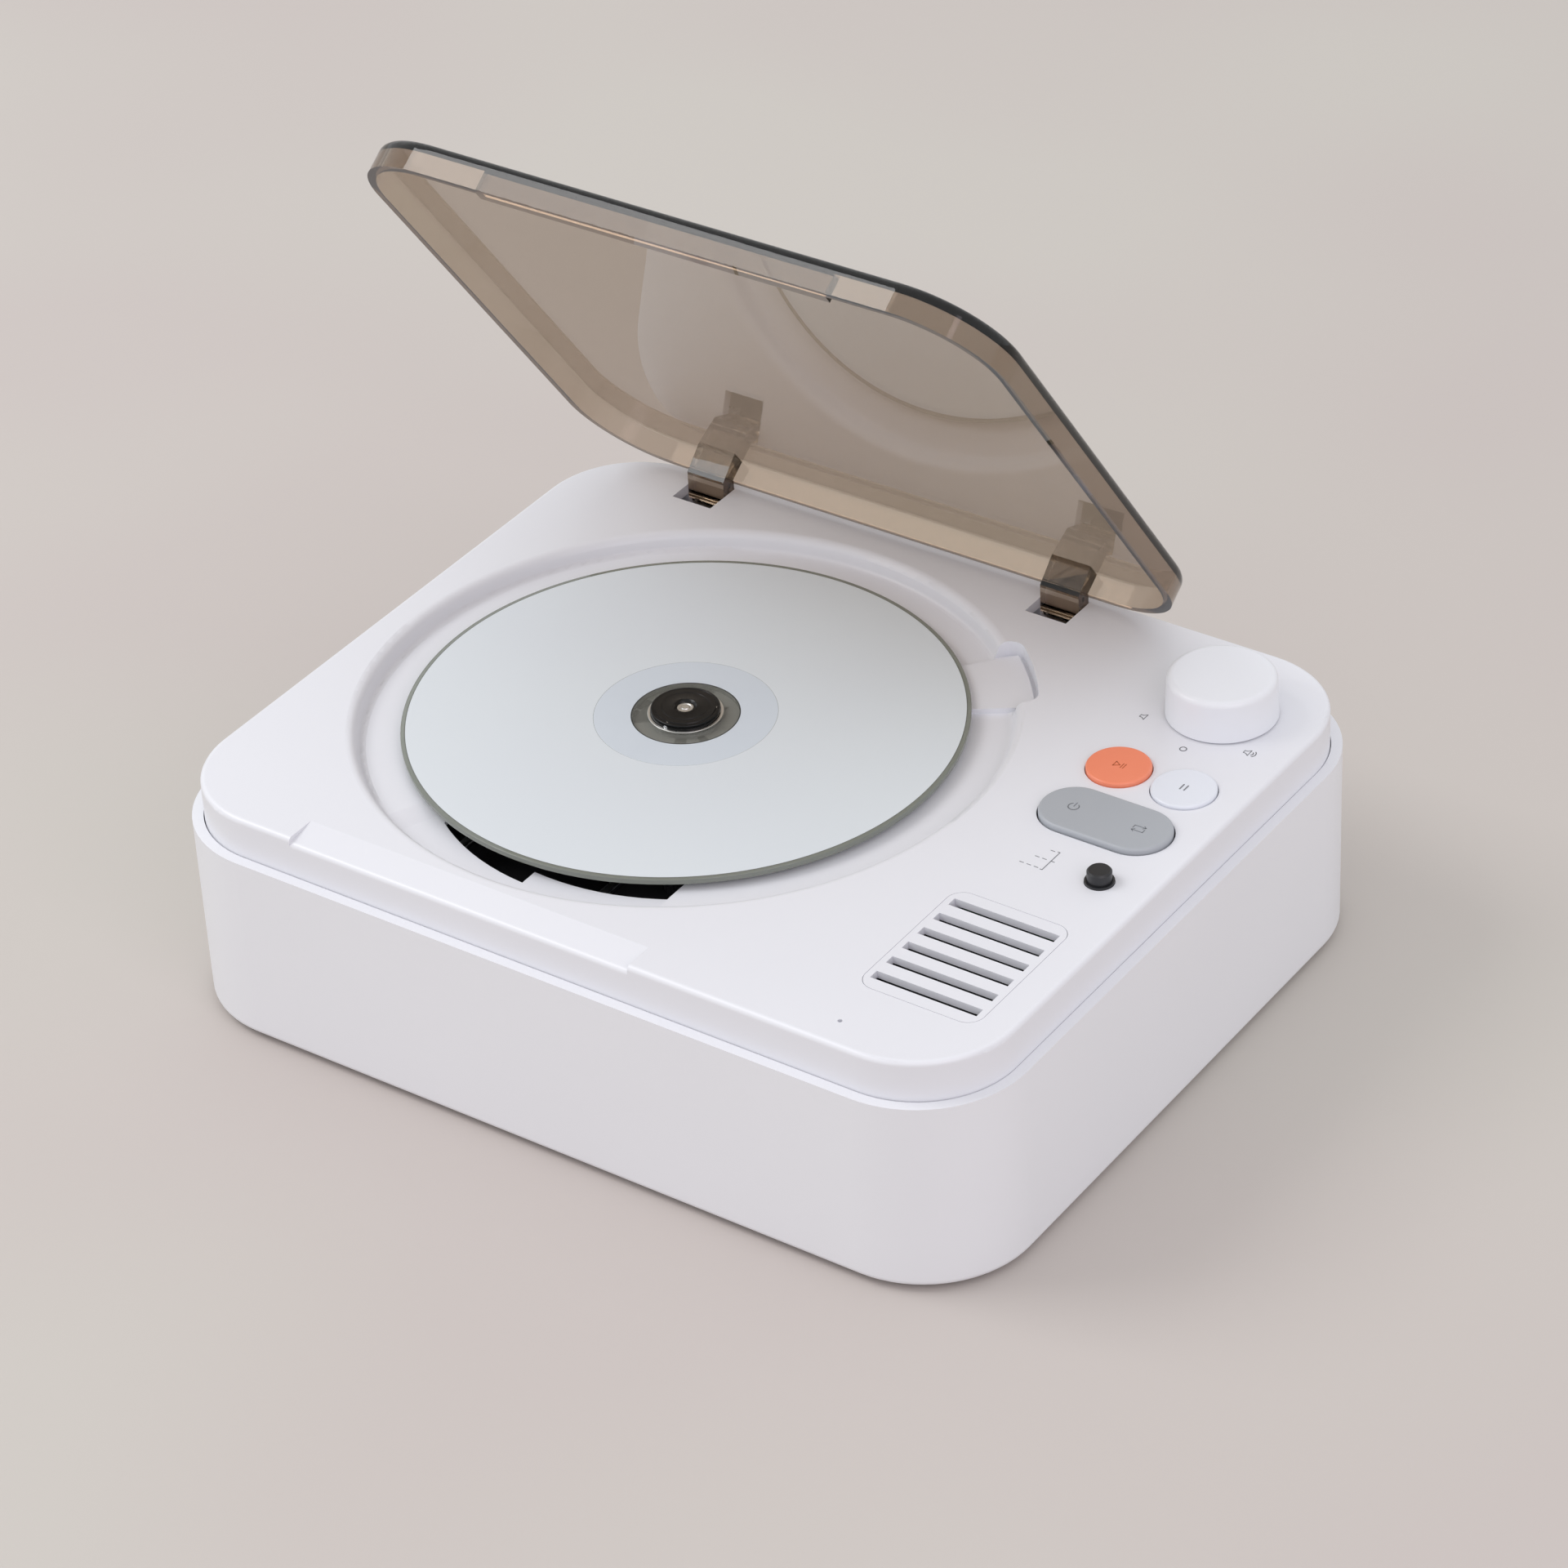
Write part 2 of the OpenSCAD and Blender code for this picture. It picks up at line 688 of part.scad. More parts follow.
// Window in the well's floor through which the pickup reads the disc
module bay_cut() {
  left_r = 52.5;
  right_r = 52;
  translate([0, 0, under_z - over]) linear_extrude(well_floor_t + well_depth) {
    circle(spindle_hole_r);
    intersection() {
      translate([6.1, left_r - bay_y]) circle(left_r, $fn = 180);
      translate([-bay_left, -rim_r]) square([bay_left + bay_step, rim_r - 12]);
    }
    intersection() {
      translate([7.6, right_r - bay_y + bay_step_d]) circle(right_r, $fn = 180);
      translate([-over, -rim_r]) square([bay_right + over, rim_r - 20]);
    }
  }
}

// Recess for a fingertip at the disc's edge, with a low pad in it
module notch_cut() {
  z0 = deck_z - notch_depth;
  corner = notch_out_r - notch_corner_r;
  half = notch_sweep / 2 - asin(notch_corner_r / corner);
  rotate([0, 0, notch_angle]) difference() {
    translate([0, 0, z0]) linear_extrude(notch_depth + over) {
      rotate([0, 0, -half]) for (a = [0, 2 * half]) rotate([0, 0, a])
        translate([corner, 0]) circle(notch_corner_r);
      intersection() {
        circle(notch_out_r, $fn = 180);
        notch_wedge(half, rim_r - 10.6, notch_out_r + 1);
      }
      intersection() {
        circle(corner, $fn = 180);
        notch_wedge(notch_sweep / 2, rim_r - 10.6, notch_out_r);
      }
    }
    translate([0, 0, z0 - over]) linear_extrude(over + notch_pad_h) intersection() {
      circle(notch_out_r - notch_pad_gap, $fn = 180);
      notch_wedge(half + 1.2, pad_in_r, notch_out_r + 1);
    }
  }
}

// The pad goes on inward over the well's floor, to just below the disc's edge
module notch_pad() {
  half = notch_sweep / 2 - asin(notch_corner_r / (notch_out_r - notch_corner_r));
  rotate([0, 0, notch_angle]) translate([0, 0, floor_z - 0.3])
    linear_extrude(deck_z - notch_depth + notch_pad_h - floor_z + 0.3) intersection() {
      circle(notch_out_r - notch_pad_gap, $fn = 180);
      notch_wedge(half + 1.2, pad_in_r, notch_out_r + 1);
    }
}

// Floor and walls of the notch, where it reaches past the well's tub
module notch_tub() {
  rotate([0, 0, notch_angle]) translate([0, 0, deck_z - notch_depth - 1.6])
    linear_extrude(notch_depth + 1.1) intersection() {
      circle(notch_out_r + well_wall, $fn = 180);
      notch_wedge(notch_sweep / 2 + 2, floor_r - 4, notch_out_r + well_wall + 1);
    }
}

module notch_wedge(half, r0, r1) {
  polygon([
    [r0 * cos(half), -r0 * sin(half)], [r1, -r1 * tan(half)], [r1, r1 * tan(half)], [r0 * cos(half), r0 * sin(half)]
  ]);
}

module relief_cut() {
  y0 = -deck_d / 2;
  tilt = atan(relief_depth / relief_l);
  e = deck_edge;
  bend_z = deck_z - relief_depth + e * tan(tilt) - e / cos(tilt);
  translate([play_x - relief_w / 2, 0, 0]) rotate([90, 0, 90]) linear_extrude(relief_w) {
    polygon([
      [y0 + relief_l, deck_z], [y0 - over, deck_z - relief_depth * (relief_l + over) / relief_l],
      [y0 - over, deck_z + over], [y0 + relief_l, deck_z + over]
    ]);
    difference() {
      polygon([
        [y0 - over, bend_z], [y0 + e, bend_z], [y0 + e * (1 - sin(tilt)), bend_z + e * cos(tilt)],
        [y0 - over, bend_z + e * cos(tilt)]
      ]);
      translate([y0 + e, bend_z]) circle(e);
    }
  }
}

module at_arms() {
  for (s = [-1, 1]) translate([lid_x + s * arm_x, hinge_y, hinge_z]) children();
}

module hinge_slot_cut() {
  w = arm_w + 2 * arm_gap;
  at_arms() translate([-w / 2, -slot_front, -hinge_drop - over])
    cube([w, slot_front + slot_back, 3 * hinge_drop]);
}

module hinge_ears() {
  w = arm_w + 2 * arm_gap;
  at_arms() for (s = [-1, 1]) translate([s * (w / 2 + ear_t / 2), 0, 0])
    translate([-ear_t / 2, hinge_inset - deck_wall / 2 - ear_l, -ear_drop])
      cube([ear_t, ear_l, ear_drop + hinge_drop - deck_plate / 2]);
}

// Upper cover with the disc well, the holes for the controls and the posts below
module deck_cover() {
  color("#E8EAEF") {
    at_disc() notch_pad();
    deck_body();
  }
}

module deck_body() {
  difference() {
    union() {
      difference() {
        translate([0, 0, skirt_z]) plate(deck_w, deck_d, deck_r, deck_z - skirt_z);
        edge_cut(deck_w, deck_d, deck_r, deck_z, deck_edge);
        translate([0, 0, skirt_z - over])
          plate(deck_w - 2 * deck_wall, deck_d - 2 * deck_wall, deck_r - deck_wall, plate_z - skirt_z + over);
      }
      at_disc() well_tub();
      at_disc() notch_tub();
      at_disc() for (p = bush_spots)
        translate([p[0], p[1], chassis_z + bush_top_h]) cylinder(r = 3, h = chassis_gap - bush_top_h + 1);
      at_posts() translate([0, 0, cover_t]) cylinder(r = post_r, h = plate_z - cover_t + 0.5);
      for (p = board_posts) translate([p[0], p[1], board_z]) cylinder(r = board_post_r, h = control_drop + 0.5);
      hinge_ears();
      rocker_ears();
    }
    at_disc() well_cut();
    at_disc() well_low_cut();
    at_disc() bay_cut();
    at_disc() notch_cut();
    relief_cut();
    hinge_slot_cut();
    at_arms() rotate([0, 90, 0])
      cylinder(r = pin_r + ear_gap, h = arm_w + 2 * arm_gap + 2 * ear_t + over, center = true);
    at_posts() translate([0, 0, cover_t - over]) cylinder(r = post_bore_r, h = screw_reach + 3);
    for (p = board_posts) translate([p[0], p[1], board_z - over]) cylinder(r = small_bore_r, h = 6);
    at_disc() for (p = bush_spots)
      translate([p[0], p[1], chassis_z + bush_top_h - over]) cylinder(r = chassis_screw_r + 0.05, h = 4);
    control_cuts();
    rocker_pin_cut();
    grille_cuts();
    translate([col_x - 9.3, -deck_d / 2 + 7, plate_z - over]) cylinder(r = 0.5, h = deck_plate + 2 * over);
  }
}

module control_cuts() {
  h = deck_plate + 2 * over;
  translate([col_x, knob_cy, plate_z - over]) cylinder(r = knob_hole_r, h = h);
  for (s = [-1, 1]) translate([col_x + s * round_pitch / 2, round_cy, plate_z - over])
    cylinder(r = round_r + button_gap, h = h);
  translate([col_x, rocker_cy, plate_z - over])
    long_plate(rocker_l + 2 * rocker_gap, rocker_w + 2 * rocker_gap, h);
  translate([mode_cx, mode_cy, plate_z - over]) cylinder(r = collar_r + collar_gap, h = h);
}

module grille_cuts() {
  translate([grille_cx, grille_cy, deck_z - grille_t])
    plate(grille_w + 2 * grille_gap, grille_l + 2 * grille_gap, grille_r + grille_gap, grille_t + over);
  translate([grille_cx, grille_cy, plate_z - over])
    plate(grille_w - 2, grille_l - 4, grille_r - 1, deck_plate + 2 * over);
}

// Two short ears below the deck that hold the rocker's pin
module rocker_ears() {
  for (s = [-1, 1]) translate([col_x, rocker_cy + s * (rocker_w / 2 + 1.9), 0])
    translate([-2.2, -0.75, rocker_pivot_z - 1.8]) cube([4.4, 1.5, plate_z - rocker_pivot_z + 2.3]);
}

module rocker_pin_cut() {
  translate([col_x, rocker_cy, rocker_pivot_z]) rotate([90, 0, 0])
    cylinder(r = rocker_pin_r + 0.02, h = rocker_w + 5.3, center = true);
}

module speaker_grille() {
  color("#E8EAEF") translate([grille_cx, grille_cy, deck_z - grille_t]) difference() {
    plate(grille_w, grille_l, grille_r, grille_t);
    for (i = [0 : grille_slots - 1])
      translate([-grille_slot_l / 2, (i - (grille_slots - 1) / 2) * grille_pitch - grille_slot_w / 2, -over])
        cube([grille_slot_l, grille_slot_w, grille_t + 2 * over]);
  }
}

// Turns what is drawn at the closed lid's place to the open place
module opened() {
  translate([0, hinge_y, hinge_z]) rotate([-lid_open, 0, 0]) translate([0, -hinge_y, -hinge_z]) children();
}

// Smoked panel with a skirt all round and a thicker lip in front
module lid_panel() {
  color("#6B5A4A", 0.5) opened() translate([lid_x, lid_y, lid_rim]) {
    difference() {
      plate(lid_w, lid_d, lid_r, lid_h);
      edge_cut(lid_w, lid_d, lid_r, lid_h, lid_edge);
      translate([0, 0, -over])
        plate(lid_w - 2 * lid_wall, lid_d - 2 * lid_wall, lid_r - lid_wall, lid_h - lid_t + over);
    }
    translate([-lip_w / 2, -lid_d / 2 + lid_wall / 2, 0])
      cube([lip_w, lid_wall / 2 + lip_t, lid_h - lid_t / 2]);
  }
}

// Bent arm from the lid's inner corner down through the deck's slot to its pin
module hinge_arm(side) {
  face = lid_under - hinge_z;
  rim = lid_rim - hinge_z;
  corner = -lid_back - lid_wall;
  color("#5E4F41", 0.7) opened() translate([lid_x + side * arm_x, hinge_y, hinge_z]) difference() {
    union() {
      translate([-arm_w / 2, 0, 0]) rotate([90, 0, 90]) linear_extrude(arm_w) polygon([
        [-2.51, -1.76], [-7.85, 2.12], [-9, face], [corner, face], [corner, rim],
        [corner + 0.45, rim], [-0.8, 1.95], [0, 0]
      ]);
      rotate([0, 90, 0]) cylinder(r = arm_boss_r, h = arm_w, center = true);
    }
    rotate([0, 90, 0]) cylinder(r = pin_r + pin_gap, h = arm_w + over, center = true);
  }
}

module left_hinge_arm() {
  hinge_arm(-1);
}

module right_hinge_arm() {
  hinge_arm(1);
}

module hinge_pins() {
  color("#C9CACC") at_arms() rotate([0, 90, 0])
    cylinder(r = pin_r, h = arm_w + 2 * arm_gap + 2 * ear_t, center = true);
}

module disc() {
  color("#D5D9DE") at_disc() translate([0, 0, disc_z]) difference() {
    cylinder(d = disc_d, h = disc_t, $fn = 180);
    translate([0, 0, -over]) cylinder(d = disc_hole_d, h = disc_t + 2 * over);
  }
}

// Platform that carries the disc, with a hub pressed on the motor's shaft
module turntable() {
  color("#55585A") at_disc() difference() {
    union() {
      translate([0, 0, disc_z - turntable_t]) cylinder(r = turntable_r, h = turntable_t);
      translate([0, 0, disc_z - turntable_t - hub_drop]) cylinder(r = hub_r, h = hub_drop + 0.1);
    }
    translate([0, 0, disc_z - turntable_t - hub_drop - over])
      cylinder(r = shaft_r, h = hub_drop + turntable_t + 2 * over);
  }
}

// Black cap through the disc's hole, with pockets for the balls that hold the disc
module spindle_cap() {
  color("#161616") at_disc() difference() {
    union() {
      translate([0, 0, disc_z]) cylinder(r = spigot_r, h = disc_t + cap_h - 0.4);
      translate([0, 0, disc_top + cap_h - 0.4]) cylinder(r1 = spigot_r, r2 = spigot_r - 0.4, h = 0.4);
    }
    for (a = [30 : 120 : 270]) rotate([0, 0, a]) translate([0, 0, ball_z]) rotate([0, 90, 0])
      translate([0, 0, ball_ring_r - ball_r - 0.6]) cylinder(r = ball_r + ball_pocket_gap, h = 4);
    translate([0, 0, disc_z - over]) cylinder(r = shaft_r, h = disc_t + cap_h + 2 * over);
    translate([0, 0, disc_top + cap_h - 0.6]) cylinder(r1 = shaft_r + 0.2, r2 = shaft_r + 1.6, h = 0.7);
  }
}

module clamp_balls() {
  color("#C9CACC") at_disc() for (a = [30 : 120 : 270]) rotate([0, 0, a])
    translate([ball_ring_r, 0, ball_z]) sphere(r = ball_r);
}

module spindle_shaft() {
  color("#C9CACC") at_disc() translate([0, 0, chassis_bottom - motor_h + 2])
    cylinder(r = shaft_r, h = disc_top + cap_h - 0.5 - chassis_bottom + motor_h - 2);
}

module spindle_motor() {
  bore = shaft_r + shaft_gap;
  color("#A9ABAF") at_disc() difference() {
    union() {
      translate([0, 0, chassis_bottom - motor_h]) cylinder(r = motor_r, h = motor_h);
      translate([0, 0, chassis_bottom - 0.1]) cylinder(r = 3, h = chassis_t + 0.6);
    }
    translate([0, 0, chassis_bottom - motor_h + 1.8]) cylinder(r = bore, h = motor_h + chassis_t + 2);
  }
}

module at_rods() {
  for (s = [-1, 1]) translate([s * rod_x, 0, 0]) children();
}

module at_bushes() {
  for (p = bush_spots) translate([p[0], p[1], 0]) children();
}

// Black plate that carries the motors and the pickup's rods
module traverse_chassis() {
  color("#1E1F21") at_disc() difference() {
    union() {
      translate([(chassis_side - chassis_left) / 2, (chassis_front + chassis_back) / 2, chassis_bottom])
        plate(chassis_left + chassis_side, chassis_back - chassis_front, 5, chassis_t);
      translate([-window_w / 2 - tub_wall, window_front - tub_wall, tub_z - tub_wall])
        cube([window_w + 2 * tub_wall, window_back - window_front + 2 * tub_wall, chassis_z - tub_z]);
      at_rods() for (y = [rod_front - 1.5, rod_back - rod_block_t + 1.5])
        translate([-rod_block_w / 2, y, chassis_z - 0.1]) cube([rod_block_w, rod_block_t, rod_block_h + 0.1]);
    }
    translate([-window_w / 2, window_front, tub_z])
      cube([window_w, window_back - window_front, chassis_z - tub_z + over]);
    at_rods() translate([0, rod_front, rod_z]) rotate([-90, 0, 0])
      cylinder(r = rod_r + 0.02, h = rod_back - rod_front);
    at_bushes() translate([0, 0, chassis_bottom - over]) cylinder(r = bush_neck_r + 0.02, h = chassis_t + 2 * over);
    translate([0, 0, chassis_bottom - over]) cylinder(r = 3.02, h = chassis_t + 2 * over);
    translate([gear_x, pinion_y, chassis_bottom - over]) cylinder(r = 2, h = chassis_t + 2 * over);
    translate([gear_x, gear_y, chassis_bottom - over]) cylinder(r = gear_bore_r, h = chassis_t + 2 * over);
  }
}

// Grommets between the chassis and the deck, which keep knocks from the disc
module damper_bushes() {
  color("#2B2B2D") at_disc() at_bushes() difference() {
    union() {
      translate([0, 0, chassis_z]) cylinder(r = bush_r, h = bush_top_h);
      translate([0, 0, chassis_bottom]) cylinder(r = bush_neck_r, h = chassis_t);
      translate([0, 0, chassis_bottom - bush_low_h]) cylinder(r = bush_r, h = bush_low_h);
    }
    translate([0, 0, chassis_bottom - bush_low_h - over])
      cylinder(r = bush_bore_r, h = bush_low_h + chassis_t + bush_top_h + 2 * over);
  }
}

module chassis_screws() {
  z0 = chassis_bottom - bush_low_h;
  color("#8C8E92") at_disc() at_bushes() {
    translate([0, 0, z0 - 1.4]) cylinder(r = 3, h = 1.4);
    translate([0, 0, z0 - 0.1]) cylinder(r = chassis_screw_r, h = chassis_z + bush_top_h + 2.4 - z0);
  }
}

module guide_rods() {
  color("#C9CACC") at_disc() at_rods() translate([0, rod_front, rod_z]) rotate([-90, 0, 0])
    cylinder(r = rod_r, h = rod_back - rod_front);
}

// Carriage of the pickup, with a sliding bore on each rod
module pickup_sled() {
  y0 = -lens_in - sled_l / 2;
  ear_z = chassis_z + sled_ear_gap;
  color("#26272A") at_disc() difference() {
    union() {
      translate([-sled_w / 2, y0, sled_bottom]) cube([sled_w, sled_l, sled_top - sled_bottom]);
      translate([-rod_x - sled_ear_reach, y0 + 2, ear_z])
        cube([2 * (rod_x + sled_ear_reach), sled_l - 4, sled_top - ear_z]);
    }
    at_rods() translate([0, y0 - over, rod_z]) rotate([-90, 0, 0])
      cylinder(r = rod_r + shaft_gap, h = sled_l + 2 * over);
  }
}

module lens_holder() {
  color("#17181A") at_disc() translate([0, -lens_in, sled_top + focus_gap])
    cylinder(r = holder_r, h = holder_h - focus_gap);
}

module objective_lens() {
  color("#9FB7C9", 0.6) at_disc() translate([0, -lens_in, sled_top + holder_h])
    cylinder(r1 = lens_r, r2 = lens_r - 0.8, h = lens_h);
}

// One tooth, its middle on the X axis, for a wheel with pitch radius r
module tooth(r) {
  polygon([
    [r - 1.25 * gear_module, -0.27 * tooth_p], [r, -0.21 * tooth_p], [r + 0.8 * gear_module, -0.11 * tooth_p],
    [r + 0.8 * gear_module, 0.11 * tooth_p], [r, 0.21 * tooth_p], [r - 1.25 * gear_module, 0.27 * tooth_p]
  ]);
}

module toothed_wheel(r, teeth) {
  circle(r - 1.1 * gear_module);
  for (i = [0 : teeth - 1]) rotate([0, 0, 360 / teeth * i]) tooth(r);
}

// Toothed strip on the sled, with a gap between teeth where the gear's first tooth meets it
module feed_rack() {
  y0 = gear_y - 4;
  y1 = gear_y + sled_travel + 4;
  back_x = rod_x + sled_ear_reach;
  first = ceil((y0 + 0.6 - gear_y) / tooth_p) - 0.5;
  last = floor((y1 - 0.6 - gear_y) / tooth_p) - 0.5;
  color("#D9D6CC") at_disc() translate([0, 0, rack_z]) linear_extrude(gear_t) {
    translate([back_x, y0]) square([rack_line - 1.1 * gear_module - back_x, y1 - y0]);
    for (i = [first : last]) translate([rack_line, gear_y + i * tooth_p]) tooth(0);
  }
}

module feed_gear() {
  color("#D9D6CC") at_disc() translate([gear_x, gear_y, rack_z]) difference() {
    linear_extrude(gear_t) rotate([0, 0, 180]) toothed_wheel(gear_r, gear_teeth);
    translate([0, 0, -over]) cylinder(r = gear_bore_r + shaft_gap, h = gear_t + 2 * over);
  }
}

module feed_gear_axle() {
  color("#C9CACC") at_disc() translate([gear_x, gear_y, chassis_bottom]) {
    cylinder(r = gear_bore_r, h = rack_z + gear_t + 0.8 - chassis_bottom);
    translate([0, 0, rack_z + gear_t + 0.2 - chassis_bottom]) cylinder(r = 1.8, h = 0.6);
  }
}

module motor_pinion() {
  color("#C8B27A") at_disc() translate([gear_x, pinion_y, rack_z]) difference() {
    linear_extrude(gear_t + 0.3) toothed_wheel(pinion_r, pinion_teeth);
    translate([0, 0, -over]) cylinder(r = pinion_shaft_r + shaft_gap, h = gear_t + 3);
  }
}

module feed_motor() {
  color("#A9ABAF") at_disc() translate([gear_x, pinion_y, chassis_bottom]) {
    translate([0, 0, -feed_motor_h]) cylinder(r = feed_motor_r, h = feed_motor_h);
    translate([0, 0, -0.1]) cylinder(r = pinion_shaft_r, h = rack_z + gear_t + 0.7 - chassis_bottom);
    translate([0, 0, -0.1]) cylinder(r = 1.9, h = rack_z - 0.1 - chassis_bottom);
  }
}

// Smooth knob, a little narrower at the top
module volume_knob() {
  z0 = deck_z + knob_gap;
  top = knob_h - knob_gap;
  top_r = knob_r - 0.3;
  socket = 6;
  color("#E6E8EC") translate([col_x, knob_cy, z0]) difference() {
    rotate_extrude() {
      polygon([[0, 0], [knob_r, 0], [top_r, top - knob_edge], [0, top - knob_edge]]);
      translate([0, top - knob_edge - 0.01]) square([top_r - knob_edge, knob_edge + 0.01]);
      intersection() {
        translate([top_r - knob_edge, top - knob_edge]) circle(knob_edge);
        translate([0, top - knob_edge - 0.01]) square([top_r + 1, knob_edge + 1]);
      }
    }
    translate([0, 0, -over]) cylinder(r = knob_shaft_r, h = socket + over);
  }
}

module knob_shaft() {
  z0 = board_z + 0.4;
  color("#C9CACC") translate([col_x, knob_cy, z0]) cylinder(r = knob_shaft_r, h = deck_z + knob_gap + 6 - z0);
}

module rotary_encoder() {
  color("#4A4D52") translate([col_x, knob_cy, board_z]) difference() {
    union() {
      translate([-encoder_w / 2, -encoder_w / 2, 0]) cube([encoder_w, encoder_w, encoder_h]);
      cylinder(r = bush_knob_r, h = control_drop + 0.6);
    }
    translate([0, 0, 0.3]) cylinder(r = knob_shaft_r + shaft_gap, h = control_drop + 3);
  }
}

// Half of a cap's section, with its upper edge rounded by e
module cap_section(r, h, e) {
  square([r, h - e]);
  square([r - e, h]);
  translate([r - e, h - e]) circle(e);
}

// Round cap with a flange below the deck and a stem over its switch
module round_button(x, h) {
  e = 0.5;
  translate([x, round_cy, 0]) {
    translate([0, 0, flange_top - flange_t]) cylinder(r = round_r + button_flange, h = flange_t);
    translate([0, 0, flange_top - flange_t])
      rotate_extrude() cap_section(round_r, deck_z + h - flange_top + flange_t, e);
    translate([0, 0, stem_z]) cylinder(r = 1.8, h = flange_top - stem_z);
  }
}

module orange_button() {
  color("#F5885A") round_button(col_x - round_pitch / 2, round_h);
}

module white_button() {
  color("#E6E8EC") round_button(col_x + round_pitch / 2, round_h - 0.2);
}

// Long cap that tilts on a pin to press the switch at one end or the other
module grey_rocker() {
  z0 = rocker_flange_top - flange_t;
  h = deck_z + rocker_h - z0;
  e = 0.6;
  color("#A7ABAF") difference() {
    translate([col_x, rocker_cy, z0]) {
      long_plate(rocker_l + 2 * button_flange, rocker_w + 2 * button_flange, flange_t);
      for (s = [-1, 1]) translate([s * (rocker_l - rocker_w) / 2, 0, 0])
        rotate_extrude() cap_section(rocker_w / 2, h, e);
      translate([-(rocker_l - rocker_w) / 2, 0, 0]) rotate([90, 0, 90]) linear_extrude(rocker_l - rocker_w) {
        cap_section(rocker_w / 2, h, e);
        mirror([1, 0]) cap_section(rocker_w / 2, h, e);
      }
      for (s = [-1, 1]) translate([s * rocker_switch_x, 0, stem_z - z0]) cylinder(r = 1.8, h = z0 - stem_z + 0.1);
    }
    translate([col_x, rocker_cy, rocker_pivot_z]) rotate([90, 0, 0])
      cylinder(r = rocker_pin_r + shaft_gap, h = rocker_w + 4, center = true);
  }
}

module rocker_pin() {
  color("#C9CACC") translate([col_x, rocker_cy, rocker_pivot_z]) rotate([90, 0, 0])
    cylinder(r = rocker_pin_r, h = rocker_w + 5.3, center = true);
}

module mode_button() {
  color("#1B1B1D") translate([mode_cx, mode_cy, 0]) {
    translate([0, 0, stem_z]) cylinder(r = mode_r, h = deck_z + mode_h - 0.4 - stem_z);
    translate([0, 0, flange_top - flange_t]) cylinder(r = mode_r + 1.2, h = flange_t);
    translate([0, 0, deck_z + mode_h - 0.4]) cylinder(r1 = mode_r, r2 = mode_r - 0.35, h = 0.4);
  }
}

module mode_button_collar() {
  color("#1B1B1D") translate([mode_cx, mode_cy, plate_z]) difference() {
    cylinder(r = collar_r, h = deck_plate + 0.5);
    translate([0, 0, -over]) cylinder(r = mode_r + collar_gap, h = deck_plate + 3);
  }
}

module control_board() {
  color("#2F6B45") difference() {
    translate([board_x0, board_y0, board_z - board_t]) cube([board_x1 - board_x0, board_y1 - board_y0, board_t]);
    for (p = board_posts) translate([p[0], p[1], board_z - board_t - over]) cylinder(r = 1.2, h = board_t + 2 * over);
  }
}

module control_board_screws() {
  color("#8C8E92") for (p = board_posts) translate([p[0], p[1], board_z - board_t]) {
    translate([0, 0, -1.2]) cylinder(r = 1.9, h = 1.2);
    translate([0, 0, -0.1]) cylinder(r = small_screw_r, h = board_t + 4.5);
  }
}

module small_switch() {
  translate([-switch_w / 2, -switch_w / 2, 0]) cube([switch_w, switch_w, switch_h]);
  cylinder(r = 1.7, h = switch_h + 0.5);
}

module push_switches() {
  color("#3A3D42") {
    for (s = [-1, 1]) translate([col_x + s * round_pitch / 2, round_cy, board_z]) small_switch();
    for (s = [-1, 1]) translate([col_x + s * rocker_switch_x, rocker_cy, board_z]) small_switch();
    translate([mode_cx, mode_cy, board_z]) small_switch();
  }
}

// Basket of the speaker, a ring below the grille that narrows to the magnet
module speaker_frame() {
  color("#3A3B3D") translate([grille_cx, grille_cy, plate_z - speaker_h]) rotate_extrude() polygon([
    [magnet_r - 3, 0], [magnet_r + 1, 0], [speaker_r - 2, speaker_h - 2], [speaker_r, speaker_h - 2],
    [speaker_r, speaker_h], [speaker_r - 3, speaker_h], [speaker_r - 3, speaker_h - 1.6], [magnet_r - 1, 1.6],
    [magnet_r - 3, 1.6]
  ]);
}

// Thin paper cone with a dome in its middle
module speaker_cone() {
  color("#1C1C1E") translate([grille_cx, grille_cy, plate_z - speaker_h]) rotate_extrude() polygon([
    [0, 3.2], [3.5, 2.6], [magnet_r - 3, 1.6], [magnet_r - 1, 1.6], [speaker_r - 3, speaker_h - 1.6],
    [speaker_r - 3, speaker_h - 0.8], [speaker_r - 4.4, speaker_h - 1.2], [magnet_r - 2, 3], [3.5, 3.6], [0, 4.6]
  ]);
}

module speaker_magnet() {
  color("#77797D") translate([grille_cx, grille_cy, plate_z - speaker_h - magnet_t]) cylinder(r = magnet_r, h = magnet_t);
}

module main_board() {
  color("#2F6B45") difference() {
    translate([main_x - main_w / 2, main_y - main_d / 2, main_z]) cube([main_w, main_d, board_t]);
    at_main_screws() translate([0, 0, main_z - over]) cylinder(r = 1.2, h = board_t + 2 * over);
  }
}

module main_board_screws() {
  color("#8C8E92") at_main_screws() {
    translate([0, 0, main_top]) cylinder(r = 1.9, h = 1.2);
    translate([0, 0, main_z - 3.6]) cylinder(r = small_screw_r, h = board_t + 3.7);
  }
}

// Socket for a 3.5 mm plug, its mouth flush with the case
module phones_jack() {
  face = case_d / 2;
  color("#1F2022") difference() {
    union() {
      translate([jack_x - 5, face - jack_l - 2, main_top]) cube([10, jack_l - case_wall + 1.6, 8]);
      translate([jack_x, face - case_wall - 1, jack_z]) rotate([-90, 0, 0]) cylinder(r = 4, h = case_wall + 1);
    }
    translate([jack_x, face - jack_l, jack_z]) rotate([-90, 0, 0]) cylinder(r = jack_r, h = jack_l + over);
  }
}

